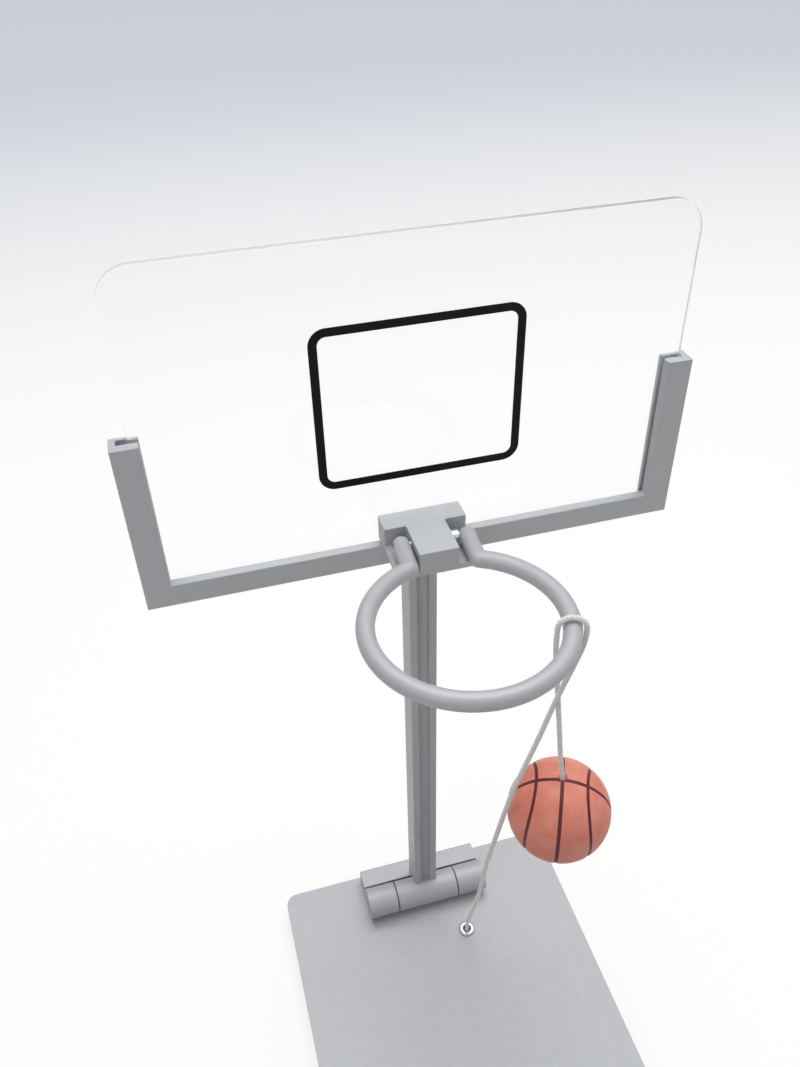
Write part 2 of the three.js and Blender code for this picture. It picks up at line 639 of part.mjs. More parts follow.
const makeEar = (side) => {
  const half = earFlangeLength / 2;
  const flangeReach = earOuterX + earFlange;
  const ends = [side * earInnerX, side * earOuterX].sort((a, b) => a - b);
  const flange = [side * earInnerX, side * flangeReach].sort((a, b) => a - b);
  const ear = unite(
    rod('x', earRadius, ends[0], ends[1], [0, leverPivotZ]),
    box(ends[0], -earRadius, plateTop, ends[1], earRadius, leverPivotZ),
    box(flange[0], -half, plateTop, flange[1], half, plateTop + earThickness),
  );
  const screwHole = rod('z', earScrewRadius + gap, plateTop - overrun, plateTop + earThickness + overrun,
    [side * earScrewX, 0], smallSides);
  const bore = rod('x', leverPinRadius + runningClearance, -flangeReach, flangeReach, [0, leverPivotZ], smallSides);
  return cutAway(ear, bore, screwHole);
};
addPair('launcher_bracket', makeEar, blastedAluminium, launcher);
addPiece('launcher_pin', rod('x', leverPinRadius, -earOuterX, earOuterX, [0, leverPivotZ], smallSides), steel,
  launcher);

const makeEarScrew = (side) => {
  const at = [side * earScrewX, 0];
  const seat = plateTop + earThickness;
  return unite(
    rod('z', earScrewHeadRadius, seat, seat + earScrewHeadHeight, at, smallSides),
    rod('z', earScrewRadius, plateTop - earScrewLength + gap, seat + earScrewHeadHeight / 2, at, smallSides),
  );
};
addPair('launcher_screw', makeEarScrew, steel, launcher);

const leverTopZ = leverPivotZ - leverPivotHeight + gap + leverThickness;
const leverBottomZ = leverTopZ - leverThickness;
const tailRise = THREE.MathUtils.degToRad(leverTailAngle);

const makeLever = () => {
  const half = leverWidth / 2;
  const strip = box(-half, -leverArm - half, leverBottomZ, half, 0, leverTopZ);
  const hub = rod('x', leverHubRadius, -half, half, [0, leverPivotZ]);
  const fill = box(-half, -leverHubRadius, leverBottomZ, half, 0, leverPivotZ);
  const geometry = new THREE.BoxGeometry(leverWidth, leverTail, leverThickness);
  geometry.translate(0, leverTail / 2, 0).rotateX(tailRise).translate(0, 0, leverPivotZ);
  const bore = rod('x', leverPinRadius + runningClearance, -half - overrun, half + overrun, [0, leverPivotZ],
    smallSides);
  const screwHole = rod('z', cupScrewRadius + gap, leverBottomZ - overrun, leverTopZ + overrun, [0, -leverArm],
    smallSides);
  return cutAway(unite(strip, hub, fill, toSolid(geometry)), bore, screwHole);
};
addPiece('launch_lever', makeLever(), blastedAluminium, launcher);

const makePad = () => {
  const geometry = new THREE.BoxGeometry(leverWidth, leverPadLength, leverPadThickness);
  const lift = (leverThickness + leverPadThickness) / 2 + gap / 2;
  geometry.translate(0, leverTail - leverPadLength / 2, lift);
  geometry.rotateX(tailRise).translate(0, 0, leverPivotZ);
  return toSolid(geometry);
};
addPiece('lever_pad', makePad(), blackRubber, launcher);

const makeCup = () => {
  const floorZ = leverTopZ;
  const rimZ = floorZ + cupFloor + cupDepth;
  return cutAway(turned([
    [0, floorZ], [cupRadius * cupBaseShare, floorZ], [cupRadius, rimZ], [cupRadius - cupWall, rimZ],
    [cupRadius * cupBaseShare - cupWall / 2, floorZ + cupFloor], [0, floorZ + cupFloor],
  ], 0, -leverArm), rod('z', cupScrewRadius + gap, floorZ - overrun, floorZ + cupFloor + overrun, [0, -leverArm],
    smallSides));
};
addPiece('launch_cup', makeCup(), blastedAluminium, launcher);

const makeCupScrew = () => unite(
  rod('z', cupScrewHeadRadius, leverTopZ + cupFloor, leverTopZ + cupFloor + cupScrewHeadHeight, [0, -leverArm],
    smallSides),
  rod('z', cupScrewRadius, leverBottomZ, leverTopZ + cupFloor + cupScrewHeadHeight / 2, [0, -leverArm],
    smallSides),
);
addPiece('cup_screw', makeCupScrew(), steel, launcher);

export default game;
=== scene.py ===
"""A fold-down tabletop basketball game: metal base and hinged mast, clear backboard, ring, ball
on a cord, flick lever.

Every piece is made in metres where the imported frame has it. +Z is up and -Y points to the player.
"""

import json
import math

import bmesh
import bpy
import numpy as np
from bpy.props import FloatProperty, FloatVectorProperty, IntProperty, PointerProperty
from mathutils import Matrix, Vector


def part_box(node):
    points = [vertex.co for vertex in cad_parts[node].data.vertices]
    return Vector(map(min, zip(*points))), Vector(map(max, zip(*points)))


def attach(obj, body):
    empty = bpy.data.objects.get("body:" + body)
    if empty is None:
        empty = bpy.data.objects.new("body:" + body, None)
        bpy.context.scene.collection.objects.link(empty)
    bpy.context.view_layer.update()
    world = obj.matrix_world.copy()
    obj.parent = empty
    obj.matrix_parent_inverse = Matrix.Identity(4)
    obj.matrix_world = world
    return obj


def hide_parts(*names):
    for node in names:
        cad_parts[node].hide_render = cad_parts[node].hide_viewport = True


bl_info = {
    "name": "Desk Hoop",
    "version": (1, 0, 0),
    "blender": (4, 5, 0),
    "location": "3D View > Sidebar > Desk Hoop",
    "description": "Builds a fold-down tabletop basketball game piece by piece",
    "category": "Object",
}

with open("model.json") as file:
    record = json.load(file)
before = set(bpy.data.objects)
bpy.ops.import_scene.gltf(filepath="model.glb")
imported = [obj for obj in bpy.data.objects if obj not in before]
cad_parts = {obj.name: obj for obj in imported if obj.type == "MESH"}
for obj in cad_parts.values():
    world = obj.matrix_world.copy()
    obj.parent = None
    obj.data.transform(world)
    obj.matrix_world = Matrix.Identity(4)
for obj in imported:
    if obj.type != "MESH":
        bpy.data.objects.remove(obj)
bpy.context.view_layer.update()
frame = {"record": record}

MM = 0.001
FULL_TURN = 2 * math.pi
JOINTS = {joint["name"]: joint for joint in frame["record"]["behaviour"]["joints"]}

# Places that the frame's boxes and joints give
PLATE_LOW, PLATE_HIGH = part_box("base_plate")
BLOCK_LOW, BLOCK_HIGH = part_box("hinge_block")
KNUCKLE_LOW, KNUCKLE_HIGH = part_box("mast_knuckle")
MAST_LOW, MAST_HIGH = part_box("mast")
FRAME_LOW, FRAME_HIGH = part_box("board_frame")
PANEL_LOW, PANEL_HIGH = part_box("backboard")
TARGET_LOW, TARGET_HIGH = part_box("target_outline")
BRACKET_LOW, BRACKET_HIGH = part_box("ring_bracket")
RING_LOW, RING_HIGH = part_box("ring")
RING_PIN_LOW, RING_PIN_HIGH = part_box("ring_pin")
BALL_LOW, BALL_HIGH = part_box("ball")
GROMMET_LOW, GROMMET_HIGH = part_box("cord_grommet")
HINGE_PIN_LOW, HINGE_PIN_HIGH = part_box("hinge_pin")
CUP_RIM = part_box("launch_cup")[1].z
PLATE_TOP = PLATE_HIGH.z
RING_AXIS = Vector(JOINTS["ring_fold"]["pos_m"])
FOLD_LINE = Vector((0, *JOINTS["mast_fold"]["pos_m"][1:]))
RING_LINE = Vector((0, RING_AXIS.y, RING_AXIS.z))
FLICK_AXIS = Vector(JOINTS["lever_flick"]["pos_m"])
FLICK_DIRECTION = Vector(JOINTS["lever_flick"]["axis"])
FLICK_LINE = (0, 0, FLICK_AXIS.z)
LAUNCHER_PLACE = Matrix.Translation((FLICK_AXIS.x, FLICK_AXIS.y, 0)) @ Matrix.Rotation(
    math.atan2(FLICK_DIRECTION.y, FLICK_DIRECTION.x), 4, "Z")


def middle(low, high):
    return (low + high) / 2


# Sizes of each piece that its box alone doesn't give
SEGMENTS = 64
CUT = 1 * MM  # how far a cutter reaches past the faces that it opens
SEAT_GAP = 0.01 * MM
BORE_PLAY = 0.1 * MM
PLATE_CORNER = 4 * MM
PLATE_EDGE = 0.6 * MM
COUNTERBORE_DEPTH = 1.9 * MM
KNOT_POCKET_RADIUS = 2.3 * MM
KNOT_POCKET_DEPTH = 3 * MM
KNOT_TIP = 0.2 * MM
FOOT_EDGE = 0.5 * MM
FOOT_GROOVE = 0.35 * MM
BLOCK_SCREW_X = 14 * MM
BLOCK_DEPTH = 6.8 * MM
BLOCK_TOP = PLATE_TOP + 6.7 * MM
BLOCK_CHAMFER = 0.8 * MM
BARREL_RADIUS = 4.9 * MM
BARREL_RELIEF = 5.7 * MM
PIN_BORE = 1.95 * MM
HINGE_PIN_EDGE = 0.35 * MM
KNUCKLE_INNER_X = KNUCKLE_HIGH.x + 0.4 * MM
MAST_GROOVE_RADIUS = 1.65 * MM
MAST_GROOVE_TOP = 2.6 * MM
MAST_SEAT_WIDTH = 7.5 * MM
MAST_SEAT_BELOW = 0.02 * MM
MAST_SEAT_OVER_BLOCK = 0.3 * MM
FORK_PLAY = 0.03 * MM
FRAME_BAR = 6 * MM
FRAME_ARM = 6.3 * MM
FRAME_FLOOR = 2 * MM
FRAME_SIDE_WALL = 1.5 * MM
SLOT_WIDTH = 2.1 * MM
SLOT_FRONT_LIP = 2.5 * MM
REAR_LIP_DROP = 2 * MM
PANEL_CORNER = 7.8 * MM
TARGET_LINE = 2 * MM
TARGET_CORNER = 4 * MM
FILM_THICKNESS = 0.075 * MM
FILM_GAP = 0.005 * MM
NOSE_WIDTH = 9.7 * MM
NOSE_REACH = 11.5 * MM
LEDGE_THICKNESS = 1.5 * MM
WASHER_BORE = 1.3 * MM
WASHER_EDGE = 0.1 * MM
SPACER_EDGE = 0.12 * MM
RING_PIN_EDGE = 0.2 * MM
ROD_RADIUS = 2.1 * MM
ROD_DOME = 1.92 * MM
RING_BORE = 1 * MM
HOOP_RADIUS = 22 * MM
HOOP_SHIFT = -0.7 * MM
HOOP_TO_ROD_ENDS = 29.75 * MM
RING_TURN = math.radians(3.3)
ROD_END_SPREAD = 16.2 * MM
ROD_END_REACH = HOOP_TO_ROD_ENDS / math.cos(RING_TURN)
RING_CENTRE = Vector((HOOP_SHIFT, RING_LOW.y + HOOP_RADIUS + ROD_RADIUS, RING_AXIS.z))
BALL_RADIUS = (BALL_HIGH.x - BALL_LOW.x) / 2
BALL_CENTRE = Vector((*middle(BALL_LOW, BALL_HIGH).xy, BALL_LOW.z + BALL_RADIUS))
BALL_HOLE_RADIUS = 1 * MM
BALL_HOLE_DEPTH = 2.2 * MM
BALL_HOLE_SLOPE = 0.45 * MM
SEAM_LEAN_AXIS = Vector((0.84, -0.543, 0))
SEAM_LOOP_ANGLE = math.radians(56.5)
SEAM_LOOP_SWELL = math.radians(4.5)
CORD_RADIUS = 0.65 * MM
GROMMET_BORE = 1.1 * MM
GROMMET_SLEEVE = 0.7 * MM
GROMMET_LIFT = 0.02 * MM
SLEEVE_HOLE = GROMMET_BORE + 1 * MM
LEVER_WIDTH = 7 * MM
LEVER_THICKNESS = 1.6 * MM
LEVER_ARM = 58 * MM
LEVER_TAIL = 12 * MM
LEVER_TAIL_RISE = math.radians(14)
LEVER_HUB = 2.6 * MM
LEVER_UNDERSIDE = PLATE_TOP + 0.3 * MM
LEVER_TOP = LEVER_UNDERSIDE + LEVER_THICKNESS
LEVER_PIN = 1.5 * MM
LEVER_PIN_EDGE = 0.25 * MM
LEVER_FILL_INSET = 0.1 * MM
CUP_RADIUS = 10 * MM
CUP_BASE = 5.5 * MM
CUP_WALL = 1.1 * MM
CUP_FLOOR = 1.2 * MM
CUP_BORE = 1.3 * MM
CUP_LIFT = 0.02 * MM
EAR_THICKNESS = 1.6 * MM
EAR_RADIUS = 3.4 * MM
EAR_INNER = LEVER_WIDTH / 2 + 0.4 * MM
EAR_FLANGE = 7 * MM
EAR_FLANGE_LENGTH = 14 * MM
EAR_FLANGE_CORNER = 1.2 * MM
EAR_SCREW_X = EAR_INNER + EAR_THICKNESS + EAR_FLANGE / 2
PAD_LENGTH = 8 * MM
PAD_THICKNESS = 0.8 * MM
PAD_LIFT = 0.12 * MM
PAD_MARGIN = 0.1 * MM
PAD_CORNER = 0.5 * MM
PAD_EDGE = 0.12 * MM
PAD_RIB_GAPS = 5
PAD_GAP_HALF = 0.28 * MM
PAD_GAP_DEPTH = 0.3 * MM

# Each screw's sizes, in millimetres
SCREW_SIZES = ("Head radius", "Head height", "Head edge", "Socket radius", "Socket depth",
               "Shank radius", "Shank length")
BLOCK_SCREW = (2.8, 1.6, 0.3, 1.4, 0.9, 1.5, 7.5)
FRAME_SCREW = (1.9, 0.88, 0.2, 0.95, 0.5, 1.0, 6.5)
MAST_SCREW = (2.2, 1.0, 0.2, 1.1, 0.6, 1.25, 7.5)
MAST_SCREW_SEAT = 1.05 * MM
BRACKET_SCREW = (1.9, 1.15, 0.25, 0.95, 0.6, 1.0, 5.0)
LAUNCHER_SCREW = (2.0, 0.98, 0.22, 1.0, 0.6, 1.1, 5.5)
CUP_SCREW = (2.0, 0.68, 0.2, 0.95, 0.45, 1.0, 2.7)

# The cord's two stretches, in millimetres from the middle of the board frame's underside at its
# front face
CORD_RUN_ROUTE = [
    (10, -16.5, -151.8), (10, -16.75, -148.5), (9.95, -18.2, -143.5), (9.9, -21.4, -132.5),
    (9.8, -25, -120), (9.2, -29.1, -106), (8.3, -33.1, -92), (7.65, -37.2, -78),
    (7.5, -40.5, -66), (7.8, -42.7, -56), (8.5, -44.2, -47), (9.7, -45.1, -39),
    (11.5, -45.7, -31), (13.9, -46.1, -22), (16.2, -46.3, -13), (18.6, -46.3, -5),
    (21, -46.2, 2), (22.4, -46.15, 7), (22.67, -46.09, 11.05), (22.29, -45.95, 12.58),
    (21.24, -45.55, 13.69), (19.81, -45.02, 14.1), (18.38, -44.49, 13.69), (17.34, -44.1, 12.58),
    (16.93, -43.95, 11.05), (16.9, -43.93, 9.6),
]
CORD_DROP_ROUTE = [
    (16.9, -43.93, 9.1), (16.95, -43.95, 6), (17.35, -44.15, 1), (18.1, -44.45, -6),
    (18.95, -44.7, -14), (19.85, -44.95, -22), (20.8, -45.2, -31), (21.6, -45.4, -37),
    (22.05, -45.48, -40.5), (22.15, -45.5, -44.6),
]
ROUTE_STEP = 0.6 * MM

# The photograph's viewpoint
CAMERA_PLACE = Vector((-50.68 * MM, FRAME_LOW.y - 172.28 * MM, FRAME_LOW.z + 146.61 * MM))
CAMERA_RIGHT = Vector((0.963, -0.270, -0.022)).normalized()
CAMERA_FORWARD = Vector((0.201, 0.765, -0.612)).normalized()
CAMERA_LENS = 31.11
CAMERA_SENSOR = 36.0

# The stage. Each lamp has its name, place, width and share of the key light's power
FLOOR_LOW, FLOOR_HIGH = (-6, -4, -0.002), (6, 9, -0.0001)
FLOOR_FADE = (0.3, 1.5)
FLOOR_GLOW = 0.7
FLOOR_SHADOW = 0.62
FLOOR_BOUNCE = (0.55, 0.55, 0.55, 1)
EVEN_LIGHT = (0.95, 0.97, 1.0, 1)
SEEN_SKY = (0.72, 0.75, 0.8, 1)
LAMP_FOCUS = Vector((0, 0.02, 0.11))
LAMPS = (
    ("overhead", (0.1, 0.25, 1.15), 0.9, 1.0),
    ("left_fill", (-0.8, -0.75, 0.95), 0.7, 0.26),
    ("right_fill", (1.1, 0.1, 0.6), 0.7, 0.12),
)


# Settings


def colour_setting(name, description, default):
    return FloatVectorProperty(name=name, description=description, subtype="COLOR", size=3,
                               min=0, max=1, default=default)


def length_setting(name, description, default):
    return FloatProperty(name=name, description=description, unit="LENGTH", default=default)


def angle_setting(name, description, degrees):
    return FloatProperty(name=name, description=description, subtype="ANGLE",
                         default=math.radians(degrees))


class MetalSettings(bpy.types.PropertyGroup):
    """The bead-blasted metal and the plated fasteners."""

    colour: colour_setting(
        "Blasted metal", "Colour of the base, mast, frame and ring", (0.5, 0.505, 0.52))
    roughness: FloatProperty(
        name="Blasting", description="How rough the blasted surface is", min=0, max=1, default=0.55)
    edge: length_setting("Edge break", "Width of the broken edges", 0.28 * MM)
    steel: colour_setting("Fasteners", "Colour of the pins and screws", (0.5, 0.51, 0.52))


class BoardSettings(bpy.types.PropertyGroup):
    """The clear panel and its printed outline."""

    tint: colour_setting("Acrylic", "Tint of the clear panel", (0.985, 0.995, 0.995))
    ink: colour_setting("Ink", "Colour of the target outline", (0.0025, 0.0025, 0.0025))
    edge: length_setting("Panel edge", "Width of the panel's polished edge", 0.16 * MM)


class BallSettings(bpy.types.PropertyGroup):
    """The moulded ball."""

    colour: colour_setting("Rubber", "Colour of the ball's skin", (0.95, 0.31, 0.215))
    seam_colour: colour_setting("Seams", "Colour in the ball's seams", (0.11, 0.008, 0.01))
    seam_width: length_setting("Seam width", "Width of a seam", 0.86 * MM)
    seam_depth: length_setting("Seam depth", "Depth of a seam", 0.17 * MM)
    turn: angle_setting("Turn", "How far the ball is turned about its cord", 64.8)
    lean: angle_setting(
        "Lean", "How far the seams' crossing leans from the cord hole to the front left", 3.9)


class CordSettings(bpy.types.PropertyGroup):
    """The braided cord."""

    colour: colour_setting("Thread", "Colour of the cord's threads", (1.0, 0.995, 0.94))
    strands: IntProperty(
        name="Strands", description="Number of braided strands", min=4, max=16, default=8)
    lay: length_setting("Lay", "Length of cord in which a strand goes round once", 3.4 * MM)


class StageSettings(bpy.types.PropertyGroup):
    """The floor and the light."""

    floor: colour_setting("Floor", "Colour of the floor near the game", (1.0, 0.995, 0.985))
    far: colour_setting("Far floor", "Colour of the floor far behind the game", (0.74, 0.77, 0.83))
    world: FloatProperty(
        name="World", description="Strength of the even light", min=0, default=0.24)
    key: FloatProperty(
        name="Key", description="Power of the overhead light, in watts", min=0, default=8)


class DeskHoopSettings(bpy.types.PropertyGroup):
    """All settings of the game."""

    metal: PointerProperty(type=MetalSettings)
    board: PointerProperty(type=BoardSettings)
    ball: PointerProperty(type=BallSettings)
    cord: PointerProperty(type=CordSettings)
    stage: PointerProperty(type=StageSettings)


def settings():
    return bpy.context.scene.desk_hoop


# Node helpers


FLOAT = "NodeSocketFloat"
VECTOR = "NodeSocketVector"
INTEGER = "NodeSocketInt"
MATERIAL = "NodeSocketMaterial"
GEOMETRY = "NodeSocketGeometry"


def feed(tree, node, values):
    """Sets a node's inputs, by name or index: numbers, colours, or other nodes' sockets."""
    for name, value in values.items():
        if isinstance(value, bpy.types.NodeSocket):
            tree.links.new(value, node.inputs[name])
        else:
            node.inputs[name].default_value = value


def wire(tree, kind, values=None, **options):
    """A new node of that kind, with its options and inputs set."""
    node = tree.nodes.new(kind)
    for name, value in options.items():
        setattr(node, name, value)
    feed(tree, node, values or {})
    return node


def maths(tree, operation, a, b=0.0, clamp=False):
    node = wire(tree, "ShaderNodeMath", {0: a, 1: b}, operation=operation, use_clamp=clamp)
    return node.outputs[0]


def times(tree, a, b, clamp=False):
    return maths(tree, "MULTIPLY", a, b, clamp)


def plus(tree, a, b, clamp=False):
    return maths(tree, "ADD", a, b, clamp)


def minus(tree, a, b):
    return maths(tree, "SUBTRACT", a, b)


def vector_maths(tree, operation, values):
    return wire(tree, "ShaderNodeVectorMath", values, operation=operation).outputs[0]


def separated(tree, vector, axis):
    return wire(tree, "ShaderNodeSeparateXYZ", {0: vector}).outputs[axis]


def blend_colours(tree, factor, a, b):
    return wire(tree, "ShaderNodeMix", {0: factor, 6: a, 7: b}, data_type="RGBA").outputs[2]


def mix_shaders(tree, factor, a, b):
    node = wire(tree, "ShaderNodeMixShader", {0: factor, 1: a.outputs[0], 2: b.outputs[0]})
    return node.outputs[0]


def noise(tree, vector, scale, detail=2.0, roughness=0.5):
    return wire(tree, "ShaderNodeTexNoise", {
        "Vector": vector, "Scale": scale, "Detail": detail, "Roughness": roughness}).outputs["Fac"]


def ramp(tree, value, low, high, out_low=0.0, out_high=1.0):
    return wire(tree, "ShaderNodeMapRange", {
        "Value": value, "From Min": low, "From Max": high, "To Min": out_low, "To Max": out_high},
        interpolation_type="SMOOTHSTEP").outputs["Result"]


def shade(colour, factor=1.0):
    """The colour made lighter or darker, as red, green, blue and alpha."""
    return (*(min(1, value * factor) for value in colour[:3]), 1.0)


def new_group(name, kind, inputs, outputs):
    tree = bpy.data.node_groups.new(name, kind)
    for label, socket_type, *default in inputs:
        socket = tree.interface.new_socket(label, in_out="INPUT", socket_type=socket_type)
        if default:
            socket.default_value = default[0]
    for label, socket_type in outputs:
        tree.interface.new_socket(label, in_out="OUTPUT", socket_type=socket_type)
    return tree, tree.nodes.new("NodeGroupInput").outputs, tree.nodes.new("NodeGroupOutput")


# Shader groups


def blasted_grain_group():
    """Tiny pits and a slow mottle, for blasted metal and rubber."""
    tree, given, result = new_group(
        "blasted_grain", "ShaderNodeTree",
        [("Vector", VECTOR), ("Pits per metre", FLOAT, 5000.0), ("Mottle per metre", FLOAT, 90.0)],
        [("Pits", FLOAT), ("Mottle", FLOAT), ("Height", FLOAT)])
    fine = noise(tree, given[0], given[1], 3.0, 0.65)
    coarse = noise(tree, given[0], times(tree, given[1], 0.31), 2.0)
    slow = noise(tree, given[0], given[2], 4.0, 0.6)
    height = plus(tree, times(tree, fine, 0.7), times(tree, coarse, 0.3))
    feed(tree, result, {0: fine, 1: slow, 2: height})
    return tree


def edge_wear_and_highlight_group():
    """Where an edge is painted bright, partly as rubbed wear and partly as a painted highlight,
    broken up by noise.
    """
    tree, given, result = new_group(
        "edge_wear_and_highlight", "ShaderNodeTree", [("Vector", VECTOR), ("Amount", FLOAT, 0.5)],
        [("Mask", FLOAT)])
    sharp = wire(tree, "ShaderNodeNewGeometry").outputs["Pointiness"]
    edge = ramp(tree, sharp, 0.505, 0.56)
    broken = ramp(tree, noise(tree, given[0], 420.0, 3.0, 0.7), 0.3, 0.75, 0.35, 1.0)
    feed(tree, result, {0: times(tree, times(tree, edge, broken), given[1], clamp=True)})
    return tree


def dust_group():
    """Fine dust that lies on upward faces."""
    tree, given, result = new_group(
        "settled_dust", "ShaderNodeTree", [("Vector", VECTOR), ("Amount", FLOAT, 0.2)],
        [("Mask", FLOAT)])
    normal = wire(tree, "ShaderNodeNewGeometry").outputs["Normal"]
    up = ramp(tree, separated(tree, normal, "Z"), 0.45, 0.95)
    specks = ramp(tree, noise(tree, given[0], 1500.0, 5.0, 0.75), 0.44, 0.7)
    drift = ramp(tree, noise(tree, given[0], 60.0, 3.0), 0.3, 0.8)
    mask = times(tree, times(tree, up, specks), drift)
    feed(tree, result, {0: times(tree, mask, given[1], clamp=True)})
    return tree


def drawn_lines_group():
    """Fine lines left by turning or drawing along one axis."""
    tree, given, result = new_group(
        "drawn_lines", "ShaderNodeTree", [("Vector", VECTOR), ("Squeeze", VECTOR, (1.0, 1.0, 1.0))],
        [("Lines", FLOAT)])
    squeezed = vector_maths(tree, "MULTIPLY", {0: given[0], 1: given[1]})
    feed(tree, result, {0: noise(tree, squeezed, 3000.0, 4.0, 0.7)})
    return tree


GROUP_MAKERS = {
    "blasted_grain": blasted_grain_group, "edge_wear_and_highlight": edge_wear_and_highlight_group,
    "settled_dust": dust_group, "drawn_lines": drawn_lines_group,
}


def use_group(tree, name, values):
    shared = bpy.data.node_groups.get(name) or GROUP_MAKERS[name]()
    return wire(tree, "ShaderNodeGroup", values, node_tree=shared).outputs


def grained(tree, where, pits, mottle):
    return use_group(tree, "blasted_grain", {
        "Vector": where, "Pits per metre": pits, "Mottle per metre": mottle})


def masked(tree, name, where, amount):
    return use_group(tree, name, {"Vector": where, "Amount": amount})["Mask"]


# Materials


def new_material(name):
    finish = bpy.data.materials.new(name)
    finish.use_nodes = True
    tree = finish.node_tree
    where = wire(tree, "ShaderNodeTexCoord").outputs["Object"]
    return finish, tree, tree.nodes["Principled BSDF"], where


def bump(tree, height, distance, strength):
    return wire(tree, "ShaderNodeBump", {
        "Height": height, "Distance": distance, "Strength": strength}).outputs["Normal"]


def blasted_metal_material():
    """Bead-blasted, clear-anodised aluminium."""
    finish, tree, shader, where = new_material("blasted_metal")
    metal = settings().metal
    grain = grained(tree, where, 7000.0, 75.0)
    wear_and_highlight = masked(tree, "edge_wear_and_highlight", where, 0.1)
    dust = masked(tree, "settled_dust", where, 0.03)
    base = blend_colours(tree, ramp(tree, grain["Mottle"], 0.3, 0.7),
                         shade(metal.colour, 0.995), shade(metal.colour, 1.005))
    base = blend_colours(tree, ramp(tree, grain["Pits"], 0.35, 0.65, 0.0, 0.08), base,
                         shade(metal.colour, 0.7))
    # Painted highlight and wear: sharp edges lightened towards pale grey, standing in for light
    # caught on the edges as well as rubbing
    base = blend_colours(tree, wear_and_highlight, base, (0.83, 0.84, 0.85, 1))
    base = blend_colours(tree, dust, base, (0.75, 0.73, 0.7, 1))
    rough = plus(tree, ramp(tree, grain["Mottle"], 0.3, 0.7, -0.01, 0.02), metal.roughness)
    rough = minus(tree, rough, times(tree, wear_and_highlight, 0.12))
    rough = plus(tree, rough, times(tree, dust, 0.3), clamp=True)
    feed(tree, shader, {"Base Color": base, "Roughness": rough, "Metallic": 0.3,
                        "Normal": bump(tree, grain["Height"], 0.006 * MM, 0.6)})
    return finish


def plated_steel_material():
    """Zinc-plated steel with the fine lines of turning."""
    finish, tree, shader, where = new_material("plated_steel")
    steel = settings().metal.steel
    lines = use_group(tree, "drawn_lines", {"Vector": where, "Squeeze": (0.12, 1.0, 1.0)})["Lines"]
    base = blend_colours(tree, ramp(tree, lines, 0.3, 0.7), shade(steel, 0.8), shade(steel))
    base = blend_colours(tree, masked(tree, "edge_wear_and_highlight", where, 0.8), base, (0.9, 0.9, 0.9, 1))
    feed(tree, shader, {"Base Color": base, "Roughness": ramp(tree, lines, 0.3, 0.7, 0.2, 0.36),
                        "Metallic": 1.0, "Normal": bump(tree, lines, 0.01 * MM, 0.6)})
    return finish


def clear_acrylic_material():
    """Polished cast acrylic, with faint wiping marks in its gloss and a matt sawn edge."""
    finish, tree, shader, where = new_material("clear_acrylic")
    stretched = wire(tree, "ShaderNodeMapping", {"Vector": where, "Scale": (1.0, 1.0, 0.35)})
    wiped = ramp(tree, noise(tree, stretched.outputs[0], 120.0, 4.0, 0.6), 0.45, 0.8, 0.0, 0.05)
    facing = separated(tree, wire(tree, "ShaderNodeNewGeometry").outputs["Normal"], "Y")
    sawn = ramp(tree, maths(tree, "ABSOLUTE", facing), 0.3, 0.9, 0.8, 0.0)
    feed(tree, shader, {
        "Base Color": shade(settings().board.tint), "Roughness": plus(tree, wiped, sawn),
        "Metallic": 0.0, "IOR": 1.49, "Specular IOR Level": 0.3,
        "Specular Tint": (0.4, 0.4, 0.4, 1), "Transmission Weight": 1.0})
    through = wire(tree, "ShaderNodeBsdfTransparent", {"Color": (0.96, 0.97, 0.97, 1)})
    lamps = wire(tree, "ShaderNodeLightPath").outputs["Is Shadow Ray"]
    feed(tree, tree.nodes["Material Output"], {
        "Surface": mix_shaders(tree, lamps, shader, through)})
    return finish


def printed_ink_material():
    """Black screen-printing ink, a little uneven in gloss."""
    finish, tree, shader, where = new_material("printed_ink")
    grain = grained(tree, where, 2600.0, 160.0)
    ink = settings().board.ink
    base = blend_colours(tree, grain["Mottle"], shade(ink), shade([value + 0.003 for value in ink]))
    feed(tree, shader, {
        "Base Color": base, "Roughness": ramp(tree, grain["Mottle"], 0.3, 0.7, 0.5, 0.62),
        "Specular IOR Level": 0.15, "Normal": bump(tree, grain["Height"], 0.015 * MM, 0.6)})
    return finish


def black_rubber_material():
    """Moulded rubber with a little dust."""
    finish, tree, shader, where = new_material("black_rubber")
    colour = (0.02, 0.02, 0.021)
    grain = grained(tree, where, 2200.0, 120.0)
    base = blend_colours(tree, grain["Mottle"], shade(colour), shade(colour, 1.7))
    base = blend_colours(tree, masked(tree, "settled_dust", where, 0.3), base, (0.4, 0.39, 0.37, 1))
    feed(tree, shader, {
        "Base Color": base, "Roughness": ramp(tree, grain["Pits"], 0.3, 0.7, 0.64, 0.8),
        "Normal": bump(tree, grain["Height"], 0.03 * MM, 0.8)})
    return finish


